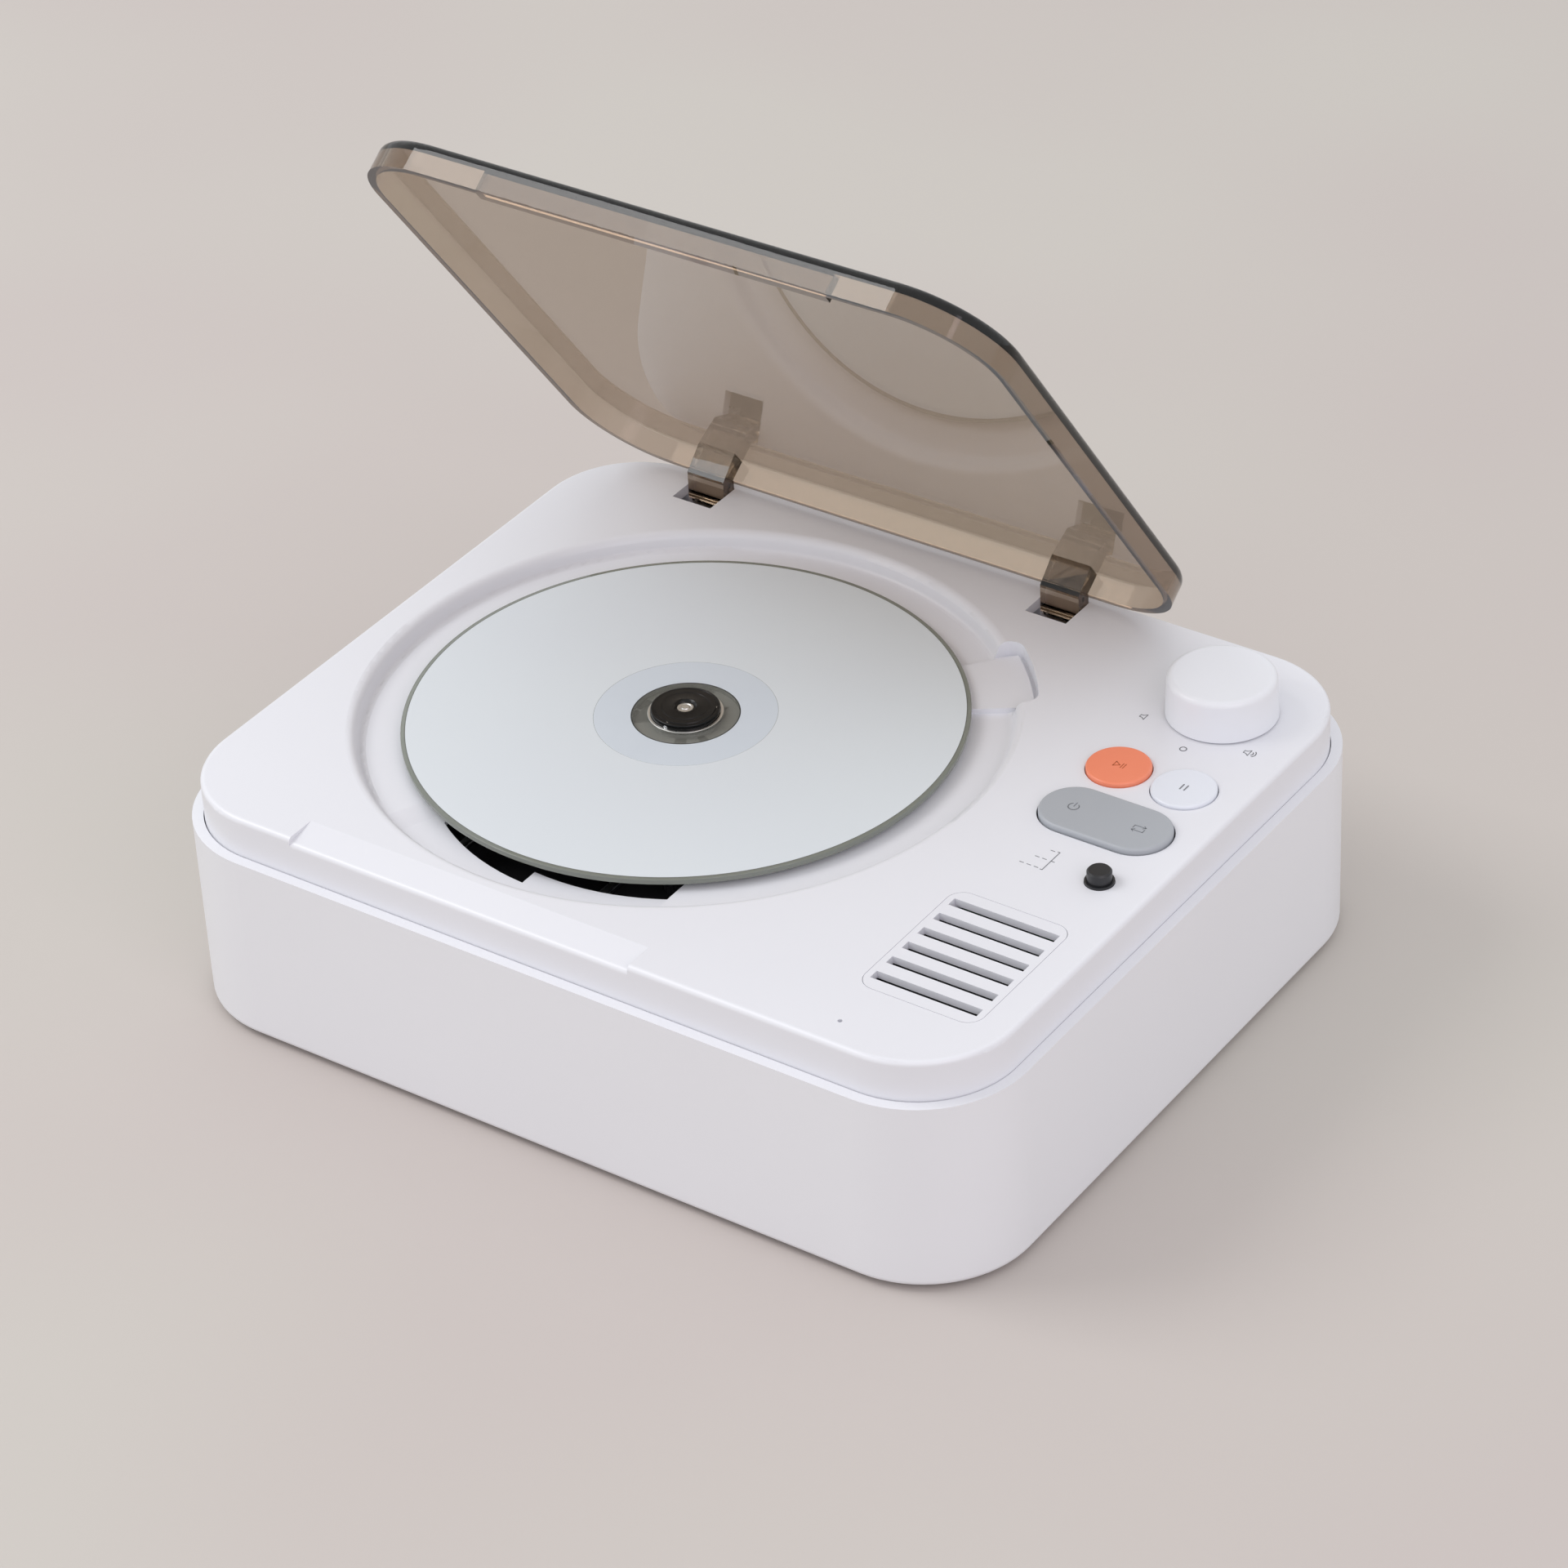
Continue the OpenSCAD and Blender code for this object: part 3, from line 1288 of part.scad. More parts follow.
// Metal shell of the power inlet with its tongue
module power_inlet() {
  face = case_d / 2 - 0.2;
  depth = 7.4;
  skin = 0.35;
  color("#B4B6B9") translate([inlet_x, face, inlet_z]) rotate([90, 0, 0]) {
    difference() {
      linear_extrude(depth) rounded(inlet_w, inlet_h, inlet_h / 2 - 0.05);
      translate([0, 0, -over]) linear_extrude(depth - 0.6)
        rounded(inlet_w - 2 * skin, inlet_h - 2 * skin, inlet_h / 2 - skin - 0.05);
    }
    translate([-3.3, -0.35, 1]) cube([6.6, 0.7, depth - 1]);
  }
}

module battery_pack() {
  color("#5A7FA8") translate([battery_x - battery_w / 2, battery_y - battery_d / 2, cover_t])
    cube([battery_w, battery_d, battery_t]);
}

// Small switch beside the left hinge ear that feels whether the lid is shut
module lid_switch() {
  ear_face = lid_x - arm_x - arm_w / 2 - arm_gap - ear_t;
  color("#2A2C30") translate([ear_face - 3.2, hinge_y - 2.6, hinge_z - 4.4]) cube([3.2, 4, 6]);
}

lower_shell();
back_cover();
rubber_feet();
case_screws();
deck_cover();
speaker_grille();
lid_panel();
left_hinge_arm();
right_hinge_arm();
hinge_pins();
disc();
turntable();
spindle_cap();
clamp_balls();
spindle_shaft();
spindle_motor();
traverse_chassis();
damper_bushes();
chassis_screws();
guide_rods();
pickup_sled();
lens_holder();
objective_lens();
feed_rack();
feed_gear();
feed_gear_axle();
motor_pinion();
feed_motor();
volume_knob();
knob_shaft();
rotary_encoder();
orange_button();
white_button();
grey_rocker();
rocker_pin();
mode_button();
mode_button_collar();
control_board();
control_board_screws();
push_switches();
speaker_frame();
speaker_cone();
speaker_magnet();
main_board();
main_board_screws();
phones_jack();
power_inlet();
battery_pack();
lid_switch();
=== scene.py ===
import math

import bmesh
import bpy
from mathutils import Matrix, Vector


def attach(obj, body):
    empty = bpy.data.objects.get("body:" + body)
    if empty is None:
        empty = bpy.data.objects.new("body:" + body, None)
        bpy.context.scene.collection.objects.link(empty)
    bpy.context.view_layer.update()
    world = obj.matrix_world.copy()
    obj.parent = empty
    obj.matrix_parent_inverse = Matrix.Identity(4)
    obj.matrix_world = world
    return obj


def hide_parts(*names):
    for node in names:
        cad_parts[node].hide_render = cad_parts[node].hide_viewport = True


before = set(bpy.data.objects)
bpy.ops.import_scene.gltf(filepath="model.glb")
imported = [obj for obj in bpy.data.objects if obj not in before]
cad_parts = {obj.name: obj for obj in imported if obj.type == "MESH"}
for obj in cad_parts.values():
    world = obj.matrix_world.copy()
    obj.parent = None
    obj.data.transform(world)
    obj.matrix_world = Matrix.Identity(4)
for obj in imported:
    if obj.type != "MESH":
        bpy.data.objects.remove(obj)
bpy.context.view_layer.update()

# Camera: a long lens in front of the player and to its right, looking down on the deck by about 35 degrees.
# Every size in this file is in millimetres in the player's own frame, and MM turns it into metres.
MM = 0.001
CAMERA_TURN, CAMERA_TILT, CAMERA_ROLL = 36.15, 34.59, -3.15
CAMERA_AIM, CAMERA_REACH = (-7.02, 15.07, 30.0), 1144.6
FILM_WIDTH, FOCAL_LENGTH = 36, 123.44
turn, tilt, roll = (math.radians(angle) for angle in (CAMERA_TURN, CAMERA_TILT, CAMERA_ROLL))
toward = Vector((math.sin(turn) * math.cos(tilt), -math.cos(turn) * math.cos(tilt), math.sin(tilt)))
level = Vector((math.cos(turn), math.sin(turn), 0))
rise = toward.cross(level)
across = math.cos(roll) * level + math.sin(roll) * rise
upward = math.cos(roll) * rise - math.sin(roll) * level
eye = (Vector(CAMERA_AIM) + CAMERA_REACH * toward) * MM
lens = bpy.data.cameras.new("camera")
lens.sensor_width = FILM_WIDTH
lens.lens = FOCAL_LENGTH
camera = bpy.data.objects.new("camera", lens)
bpy.context.scene.collection.objects.link(camera)
camera.matrix_world = Matrix.Translation(eye) @ Matrix((across, upward, toward)).transposed().to_4x4()
bpy.context.scene.camera = camera
bpy.context.scene.view_settings.view_transform = "Standard"


# Table top: a smooth painted board, warm pale grey, which drifts between a faint green and a faint pink.
# The matt coat of paint gives soft contact shadows and no mirror image of the player, whose feet stand on it.
TABLE_Z, TABLE_HALF = -1.25, 4000
TONE_PATCH, PAINT_GRIT = 190, 1.2


def srgb(code):
    """The linear colour of an sRGB hex value."""
    parts = [int(code[i:i + 2], 16) / 255 for i in (1, 3, 5)]
    return tuple(c / 12.92 if c <= 0.04045 else ((c + 0.055) / 1.055) ** 2.4 for c in parts) + (1.0,)


def add(tree, kind, inputs=None, **settings):
    """A shader node with its settings. Each input is given as a value or as the socket that feeds it."""
    made = tree.nodes.new("ShaderNode" + kind)
    for name, value in settings.items():
        setattr(made, name, value)
    for name, value in (inputs or {}).items():
        if isinstance(value, bpy.types.NodeSocket):
            tree.links.new(value, made.inputs[name])
        else:
            made.inputs[name].default_value = value
    return made


def new_finish(name):
    """An empty material with its node tree."""
    made = bpy.data.materials.new(name)
    made.use_nodes = True
    made.node_tree.nodes.clear()
    return made, made.node_tree


table_paint, tree = new_finish("matt_table_paint")
place = add(tree, "TexCoord").outputs["Object"]
drift = add(tree, "TexNoise", {"Vector": place, "Scale": 1000 / TONE_PATCH, "Detail": 1.0, "Roughness": 0.4})
share = add(tree, "MapRange", {"Value": drift.outputs["Fac"], "From Min": 0.38, "From Max": 0.62})
grit = add(tree, "TexNoise", {"Vector": place, "Scale": 1000 / PAINT_GRIT, "Detail": 2.0})
tone = add(tree, "Mix", {0: share.outputs[0], 6: srgb("#C9C4BE"), 7: srgb("#C7BFBB")}, data_type="RGBA")
bump = add(tree, "Bump", {"Height": grit.outputs["Fac"], "Strength": 0.06, "Distance": 0.05 * MM})
shader = add(tree, "BsdfPrincipled", {
    "Base Color": tone.outputs[2], "Roughness": 0.75, "Normal": bump.outputs[0], "Specular IOR Level": 0.25})
add(tree, "OutputMaterial", {"Surface": shader.outputs[0]})
sheet = bpy.data.meshes.new("table_top")
sides = ((-1, -1), (1, -1), (1, 1), (-1, 1))
corners = [(x * TABLE_HALF * MM, y * TABLE_HALF * MM, TABLE_Z * MM) for x, y in sides]
sheet.from_pydata(corners, [], [(0, 1, 2, 3)])
sheet.materials.append(table_paint)
table_top = bpy.data.objects.new("table_top", sheet)
bpy.context.scene.collection.objects.link(table_top)

# Light: an overcast-bright room, a large softbox high on the left, and a weak pinkish one at the right.
# Together they light a level surface so that its colour shows about as it is written, and the weak one lifts
# the side wall out of the shade.
PLAYER_MIDDLE = (0, 0, 30)
world = bpy.data.worlds.new("room")
world.use_nodes = True
world.node_tree.nodes.clear()
sky = add(world.node_tree, "Background", {"Color": (0.985, 0.99, 0.995, 1.0), "Strength": 0.825})
add(world.node_tree, "OutputWorld", {"Surface": sky.outputs[0]})
bpy.context.scene.world = world


def softbox(name, spot, size, power, colour):
    """A square lamp at spot that faces the middle of the player."""
    lamp = bpy.data.lights.new(name, "AREA")
    lamp.shape = "SQUARE"
    lamp.size = size * MM
    lamp.energy = power
    lamp.color = colour
    made = bpy.data.objects.new(name, lamp)
    bpy.context.scene.collection.objects.link(made)
    made.location = Vector(spot) * MM
    made.rotation_euler = (Vector(PLAYER_MIDDLE) - Vector(spot)).to_track_quat("-Z", "Y").to_euler()


softbox("key_light", (-1150, -550, 1450), 900, 11.0, (1.0, 1.0, 1.0))
softbox("side_light", (1250, -750, 1000), 1000, 4.2, (1.0, 0.86, 0.96))


# Case and deck: white ABS, moulded in a lightly blasted tool, so the walls are satin with a very fine grain.
# The case is an open frame, and the deck drops into it with its skirt; the grille plate is let into the deck.
def paint(finish, *nodes):
    """Gives CAD nodes a finish."""
    for name in nodes:
        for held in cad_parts[name].material_slots:
            held.material = finish


def moulded(name, tone_a, tone_b, rough, grain=0.6, relief=0.004, patch=45, ior=1.53):
    """Moulded plastic: two near tones in patches, fine grain in roughness and relief, sized in millimetres.
    The real grain of about 0.05 mm would not show, so it is drawn ten times coarser and very shallow."""
    finish, tree = new_finish(name)
    place = add(tree, "TexCoord").outputs["Object"]
    drift = add(tree, "TexNoise", {"Vector": place, "Scale": 1000 / patch, "Detail": 2.0})
    fine = add(tree, "TexNoise", {"Vector": place, "Scale": 1000 / grain, "Detail": 3.0})
    tone = add(tree, "Mix", {0: drift.outputs["Fac"], 6: srgb(tone_a), 7: srgb(tone_b)}, data_type="RGBA")
    spread = {"Value": fine.outputs["Fac"], "To Min": rough - 0.04, "To Max": rough + 0.04}
    gloss = add(tree, "MapRange", spread)
    bump = add(tree, "Bump", {"Height": fine.outputs["Fac"], "Strength": 0.05, "Distance": relief * MM})
    shader = add(tree, "BsdfPrincipled", {
        "Base Color": tone.outputs[2], "Roughness": gloss.outputs[0], "IOR": ior, "Normal": bump.outputs[0]})
    add(tree, "OutputMaterial", {"Surface": shader.outputs[0]})
    return finish


# The case is one plastic with the deck, but its white is a shade lighter: painted light that lifts its walls
# out of their shade.
case_abs_painted_light = moulded("white_abs_case_painted_light", "#EBECF1", "#E8E9EE", 0.40)
deck_abs = moulded("white_abs_satin_deck", "#E9EAF0", "#E6E7ED", 0.34)
paint(case_abs_painted_light, "lower_shell", "back_cover")
paint(deck_abs, "deck_cover", "speaker_grille")

# Feet and damper bushes: moulded rubber, near black, dull, with the faint speckle of its filler.
# The feet are glued in shallow recesses, and the bushes are pressed into the drive's chassis.
rubber = moulded("black_rubber_moulded", "#2E2E30", "#3A3A3C", 0.78, grain=0.9, relief=0.05, patch=6,
                 ior=1.52)
paint(rubber, "rubber_feet", "damper_bushes")


# Screws, rods, pins and shafts: steel, zinc plated on the screws and ground on the turning parts.
# Grinding leaves fine rings round the axis, which show as thin streaks in the highlight.
def metal(name, tone_a, tone_b, rough, streak=(0.3, 0.3, 0.05)):
    """Bare or plated metal with fine tool marks, which repeat every streak millimetres along X, Y and Z."""
    finish, tree = new_finish(name)
    place = add(tree, "TexCoord").outputs["Object"]
    marks = add(tree, "Mapping", {"Vector": place, "Scale": tuple(1000 / s for s in streak)})
    fine = add(tree, "TexNoise", {"Vector": marks.outputs[0], "Scale": 1.0, "Detail": 2.0})
    tone = add(tree, "Mix", {0: fine.outputs["Fac"], 6: srgb(tone_a), 7: srgb(tone_b)}, data_type="RGBA")
    spread = {"Value": fine.outputs["Fac"], "To Min": rough - 0.07, "To Max": rough + 0.07}
    gloss = add(tree, "MapRange", spread)
    bump = add(tree, "Bump", {"Height": fine.outputs["Fac"], "Strength": 0.1, "Distance": 0.01 * MM})
    shader = add(tree, "BsdfPrincipled", {
        "Base Color": tone.outputs[2], "Metallic": 1.0, "Roughness": gloss.outputs[0],
        "Normal": bump.outputs[0]})
    add(tree, "OutputMaterial", {"Surface": shader.outputs[0]})
    return finish


zinc = metal("zinc_plated_steel", "#A9ABB0", "#BFC1C4", 0.34, (0.5, 0.5, 0.5))
ground_steel = metal("ground_steel", "#C4C5C8", "#D6D7D9", 0.20, (3.0, 0.12, 3.0))
paint(zinc, "case_screws", "chassis_screws", "control_board_screws", "main_board_screws")
paint(ground_steel, "hinge_pins", "guide_rods", "rocker_pin", "knob_shaft")
paint(ground_steel, "spindle_shaft", "feed_gear_axle", "clamp_balls")


# Lid and its two hinge arms: smoked acrylic, polished in the mould, with a brown tint all the way through.
# Light loses more the further it runs inside, so the panel is clear and its skirt, lip and arms look darker.
def tinted(name, tone_a, tone_b, swallowed, density):
    """Clear tinted acrylic, with the absorption colour and its density per metre. Lamps shine through it."""
    finish, tree = new_finish(name)
    place = add(tree, "TexCoord").outputs["Object"]
    flow = add(tree, "TexNoise", {"Vector": place, "Scale": 1000 / 60, "Detail": 1.0})
    gloss = add(tree, "MapRange", {"Value": flow.outputs["Fac"], "To Min": 0.0, "To Max": 0.03})
    tone = add(tree, "Mix", {0: flow.outputs["Fac"], 6: srgb(tone_a), 7: srgb(tone_b)}, data_type="RGBA")
    shader = add(tree, "BsdfPrincipled", {
        "Base Color": tone.outputs[2], "Roughness": gloss.outputs[0], "IOR": 1.49,
        "Transmission Weight": 1.0})
    tint = add(tree, "VolumeAbsorption", {"Color": (*swallowed, 1.0), "Density": density})
    through = add(tree, "BsdfTransparent", {"Color": (0.95, 0.93, 0.90, 1.0)})
    towards_lamp = add(tree, "LightPath").outputs["Is Shadow Ray"]
    mixed = add(tree, "MixShader", {0: towards_lamp, 1: shader.outputs[0], 2: through.outputs[0]})
    add(tree, "OutputMaterial", {"Surface": mixed.outputs[0], "Volume": tint.outputs[0]})
    return finish


smoked = tinted("smoked_acrylic_polished", "#FAF2E8", "#F7EEE2", (0.35, 0.24, 0.13), 300.0)
smoked_arm = tinted("smoked_acrylic_arms", "#F2E6D8", "#ECDFD0", (0.30, 0.22, 0.12), 100.0)
paint(smoked, "lid_panel")
paint(smoked_arm, "left_hinge_arm", "right_hinge_arm")


# Disc: pressed clear polycarbonate, with a mirror layer under a silvery white print and a frosted ring at the
# hub. The print stops 1 mm short of the rim, so the clear edge shows as a thin grey-green line.
SPINDLE = (-20.5, 0.0)
DISC_Z, DISC_TOP = 51.1, 52.3
DISC_R, DISC_HOLE_R, DISC_ROUND = 60, 7.5, 0.18
HUB_R, HUB_GAP = 11.45, 0.01
CREASE = 32


def piece(name, bm, finish, body):
    """A finished mesh: shaded smooth below the crease angle, painted, and riding on its body."""
    bmesh.ops.recalc_face_normals(bm, faces=bm.faces)
    mesh = bpy.data.meshes.new(name)
    bm.to_mesh(mesh)
    bm.free()
    mesh.polygons.foreach_set("use_smooth", [True] * len(mesh.polygons))
    mesh.set_sharp_from_angle(angle=math.radians(CREASE))
    mesh.materials.append(finish)
    made = bpy.data.objects.new(name, mesh)
    bpy.context.scene.collection.objects.link(made)
    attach(made, body)
    return made


def turned(section, steps=192):
    """A closed section of (radius, height) points, turned round the spindle's upright axis."""
    bm = bmesh.new()
    x, y = SPINDLE
    rings = []
    for r, z in section:
        if r == 0:
            rings.append([bm.verts.new((x * MM, y * MM, z * MM))] * steps)
        else:
            rings.append([bm.verts.new(((x + r * math.cos(a)) * MM, (y + r * math.sin(a)) * MM, z * MM))
                          for a in (2 * math.pi * i / steps for i in range(steps))])
    for k in range(len(section)):
        one, two = rings[k], rings[(k + 1) % len(section)]
        for i in range(steps):
            j = (i + 1) % steps
            corners = list(dict.fromkeys((one[i], one[j], two[j], two[i])))
            if len(corners) > 2:
                bm.faces.new(corners)
    return bm


def corner(r, z, rounding, start):
    """Points of a quarter round about (r, z), from the angle start in degrees, in four steps."""
    angles = [math.radians(start + 90 * i / 4) for i in range(5)]
    return [(r + rounding * math.cos(a), z + rounding * math.sin(a)) for a in angles]


def see_through(name, tone_a, tone_b, patch, rough, ior, passing):
    """Clear plastic or glass: two near tones in patches, a roughness range, and how it passes light."""
    finish, tree = new_finish(name)
    place = add(tree, "TexCoord").outputs["Object"]
    flow = add(tree, "TexNoise", {"Vector": place, "Scale": 1000 / patch, "Detail": 1.0})
    tone = add(tree, "Mix", {0: flow.outputs["Fac"], 6: srgb(tone_a), 7: srgb(tone_b)}, data_type="RGBA")
    gloss = add(tree, "MapRange", {"Value": flow.outputs["Fac"], "To Min": rough[0], "To Max": rough[1]})
    shader = add(tree, "BsdfPrincipled", {
        "Base Color": tone.outputs[2], "Roughness": gloss.outputs[0], "IOR": ior, **passing})
    add(tree, "OutputMaterial", {"Surface": shader.outputs[0]})
    return finish


# The rim shows the plastic from its side, where it looks greyish green and half clear.
# A low stacking ring stands out below, between 16.6 and 17.6 mm from the middle.
clear_pc = see_through("clear_polycarbonate_pressed", "#A9AEA4", "#A1A79D", 25, (0.01, 0.05), 1.585,
                       {"Transmission Weight": 0.5})
RING_DROP = 0.18
rim = DISC_R - DISC_ROUND
body_in = HUB_R + HUB_GAP
outside = (corner(rim, DISC_Z + DISC_ROUND, DISC_ROUND, 270)
           + corner(rim, DISC_TOP - DISC_ROUND, DISC_ROUND, 0))
stacking_ring = [(16.6, DISC_Z), (16.8, DISC_Z - RING_DROP), (17.4, DISC_Z - RING_DROP), (17.6, DISC_Z)]
section = outside + [(body_in, DISC_TOP), (body_in, DISC_Z)] + stacking_ring
disc = piece("disc_moulding", turned(section), clear_pc, "disc_drive")
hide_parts("disc")

# The hub's clamping zone has no layers, so the turntable shows through it with a faint veil.
hub_pc = see_through("clear_polycarbonate_hub", "#A2A39C", "#ACADA6", 9, (0.02, 0.06), 1.585, {"Alpha": 0.22})
edge = DISC_HOLE_R + DISC_ROUND
section = ([(HUB_R, DISC_Z), (HUB_R, DISC_TOP)] + corner(edge, DISC_TOP - DISC_ROUND, DISC_ROUND, 90)
           + corner(edge, DISC_Z + DISC_ROUND, DISC_ROUND, 180))
hub = piece("disc_clear_hub", turned(section), hub_pc, "disc_drive")
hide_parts("disc")


# The layers on the body are films a few hundredths of a millimetre thick.
def film(name, inner, outer, low, high, draft, finish):
    """A flat ring between two radii and two heights, whose edges lean in by draft."""
    section = [(inner, low), (outer, low), (outer - draft, high), (inner + draft, high)]
    piece(name, turned(section), finish, "disc_drive")


# Sputtered aluminium, with rings of faint colour where light is bent by the data tracks.
DATA_IN, DATA_OUT = 22, 58.6
mirror, tree = new_finish("aluminium_mirror_layer")
place = add(tree, "TexCoord").outputs["Object"]
centred = add(tree, "VectorMath", {0: place, 1: (SPINDLE[0] * MM, SPINDLE[1] * MM, 0)}, operation="SUBTRACT")
flat = add(tree, "VectorMath", {0: centred.outputs[0], 1: (1, 1, 0)}, operation="MULTIPLY")
reach = add(tree, "VectorMath", {0: flat.outputs[0]}, operation="LENGTH")
span = {"Value": reach.outputs["Value"], "From Min": DATA_IN * MM, "From Max": DATA_OUT * MM}
bands = add(tree, "MapRange", span)
ramp = add(tree, "ValToRGB", {"Fac": bands.outputs[0]})
ramp.color_ramp.elements[0].color, ramp.color_ramp.elements[1].color = srgb("#C9CEDA"), srgb("#D2D9CF")
for at, code in ((0.3, "#CDD6CB"), (0.6, "#D6CBD5")):
    ramp.color_ramp.elements.new(at).color = srgb(code)
shader = add(tree, "BsdfPrincipled", {"Base Color": ramp.outputs[0], "Metallic": 1.0, "Roughness": 0.12})
add(tree, "OutputMaterial", {"Surface": shader.outputs[0]})
MIRROR_Z = DISC_TOP - 0.1
film("disc_mirror_layer", 20.2, 58.7, MIRROR_Z, MIRROR_Z + 0.04, 0, mirror)

# Screen print in a cool silvery white, with a smooth satin face that blurs the lamps away.
disc_print, tree = new_finish("silver_white_screen_print")
place = add(tree, "TexCoord").outputs["Object"]
cloud = add(tree, "TexNoise", {"Vector": place, "Scale": 1000 / 70, "Detail": 1.0})
speck = add(tree, "TexNoise", {"Vector": place, "Scale": 1000 / 0.5, "Detail": 2.0})
tone = add(tree, "Mix", {0: cloud.outputs["Fac"], 6: srgb("#DADFE6"), 7: srgb("#DFE6E9")}, data_type="RGBA")
gloss = add(tree, "MapRange", {"Value": speck.outputs["Fac"], "To Min": 0.42, "To Max": 0.54})
shader = add(tree, "BsdfPrincipled", {
    "Base Color": tone.outputs[2], "Roughness": gloss.outputs[0], "IOR": 1.45})
add(tree, "OutputMaterial", {"Surface": shader.outputs[0]})
PRINT_Z = DISC_TOP + 0.005
PRINT_IN, PRINT_OUT = 19.5, 59.0
film("disc_print", PRINT_IN, PRINT_OUT, PRINT_Z, PRINT_Z + 0.025, 0.02, disc_print)

# Frosted ring: the same polycarbonate, blasted in the mould, so it is milky and a shade bluer than the print.
frost = moulded("frosted_hub_ring", "#D5DDE6", "#D1D9E2", 0.50, grain=0.4, relief=0.01, patch=14, ior=1.585)
film("disc_frost_ring", HUB_R + 0.15, PRINT_IN - 0.05, PRINT_Z, PRINT_Z + 0.015, 0.02, frost)

# Two thin dark rings of painted shade: one just outside the print's edge, and one in the mould's groove round
# the clear hub.
groove_shade = moulded("painted_groove_shade", "#2B2D2E", "#323435", 0.5, grain=0.3, patch=5)
print_edge_shade = moulded("painted_print_edge_shade", "#5C605A", "#676B64", 0.3, grain=0.4, patch=9)
# A flat dark ring painted as the shade along the print's outer edge.
EDGE_SHADE_Z = PRINT_Z - 0.001
section = [(PRINT_OUT, EDGE_SHADE_Z), (PRINT_OUT + 0.16, EDGE_SHADE_Z), (PRINT_OUT + 0.15, EDGE_SHADE_Z + 0.016),
           (PRINT_OUT, EDGE_SHADE_Z + 0.016)]
piece("disc_print_edge_shade", turned(section), print_edge_shade, "disc_drive")
# A flat dark film painted where the hub's groove lies in shade.
film("disc_hub_groove_shade", HUB_R - 0.11, HUB_R + 0.13, PRINT_Z, PRINT_Z + 0.01, 0.01, groove_shade)

# Turntable: grey polycarbonate, moulded, that the disc lies on; its face shows through the disc's clear hub.
# It is pressed on the motor's steel shaft.
turntable_pc = moulded("grey_polycarbonate_moulded", "#9A9B95", "#90918B", 0.42, grain=0.5, patch=8,
                       ior=1.585)
paint(turntable_pc, "turntable")

# Spindle cap: glossy black ABS with turned tiers and a pale ring below it that centres the disc.
# The tiers and the shaft's bright end in its cup catch small glints.
gloss_black = moulded("black_abs_gloss", "#070708", "#0C0C0D", 0.24, grain=0.8, patch=5, ior=1.38)
CAP_R, CAP_Z, CAP_RIM, CAP_ROUND = 7.38, DISC_TOP + 0.02, 54.02, 0.25
shoulder = corner(CAP_R - CAP_ROUND, CAP_RIM - CAP_ROUND, CAP_ROUND, 0)
outer_groove = [(6.9, CAP_RIM), (6.8, CAP_RIM - 0.1), (6.55, CAP_RIM - 0.1), (6.45, CAP_RIM + 0.08)]
inner_groove = [(5.2, CAP_RIM + 0.12), (5.12, CAP_RIM + 0.04), (4.98, CAP_RIM + 0.04), (4.9, CAP_RIM + 0.14)]
cup_lip = [(3.0, CAP_RIM + 0.18), (2.75, CAP_RIM + 0.26), (2.45, CAP_RIM + 0.26), (2.2, CAP_RIM + 0.08)]
cup = [(1.9, CAP_RIM - 0.32), (0, CAP_RIM - 0.36)]
section = [(0, CAP_Z), (CAP_R, CAP_Z)] + shoulder + outer_groove + inner_groove + cup_lip + cup
cap = piece("spindle_cap_turned", turned(section, steps=128), gloss_black, "disc_drive")
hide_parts("spindle_cap")

# The ring and the shaft's end are nickel with a satin face, which keeps their glints soft.
ring_metal = metal("satin_nickel_ring", "#D3D3D1", "#DEDEDC", 0.30, (1.5, 1.5, 0.1))
RING_IN, RING_OUT, RING_Z = CAP_R + 0.04, 8.0, DISC_TOP + 0.04
section = ([(RING_IN, RING_Z), (RING_OUT, RING_Z)] + corner(RING_OUT - 0.05, RING_Z + 0.38, 0.12, 0)
           + [(RING_IN + 0.08, RING_Z + 0.52), (RING_IN, RING_Z + 0.46)])
piece("centring_ring", turned(section, steps=128), ring_metal, "disc_drive")
END_Z = 53.64
section = [(0, END_Z), (1.75, END_Z), (1.7, END_Z + 0.18), (1.35, END_Z + 0.22), (1.2, END_Z + 0.12),
           (0.95, END_Z + 0.16), (0.8, END_Z + 0.34), (0.3, END_Z + 0.4), (0, END_Z + 0.41)]
piece("shaft_end", turned(section, steps=64), ring_metal, "disc_drive")

# Drive: black glass-filled chassis, sled, rack and gears, which show as one black depth below the disc.
# The motors are nickel-plated cans, the pinion is brass, and the lens is coated glass in a black holder.
black_nylon = moulded("black_glass_filled_nylon", "#26262A", "#303032", 0.50, grain=0.8, relief=0.03,
                      patch=10)
paint(black_nylon, "traverse_chassis", "pickup_sled", "lens_holder", "feed_rack", "feed_gear", "lid_switch")
nickel = metal("nickel_plated_can", "#A5A7AB", "#B6B8BB", 0.28, (2.0, 2.0, 0.2))
paint(nickel, "spindle_motor", "feed_motor")
brass = metal("turned_brass", "#C2A45E", "#D0B470", 0.26, (0.4, 0.4, 0.4))
paint(brass, "motor_pinion")
lens_glass = see_through("coated_lens_glass", "#A9BCE0", "#C0B2E2", 2, (0.0, 0.04), 1.6,
                         {"Transmission Weight": 0.8, "Coat Weight": 0.5})
paint(lens_glass, "objective_lens")

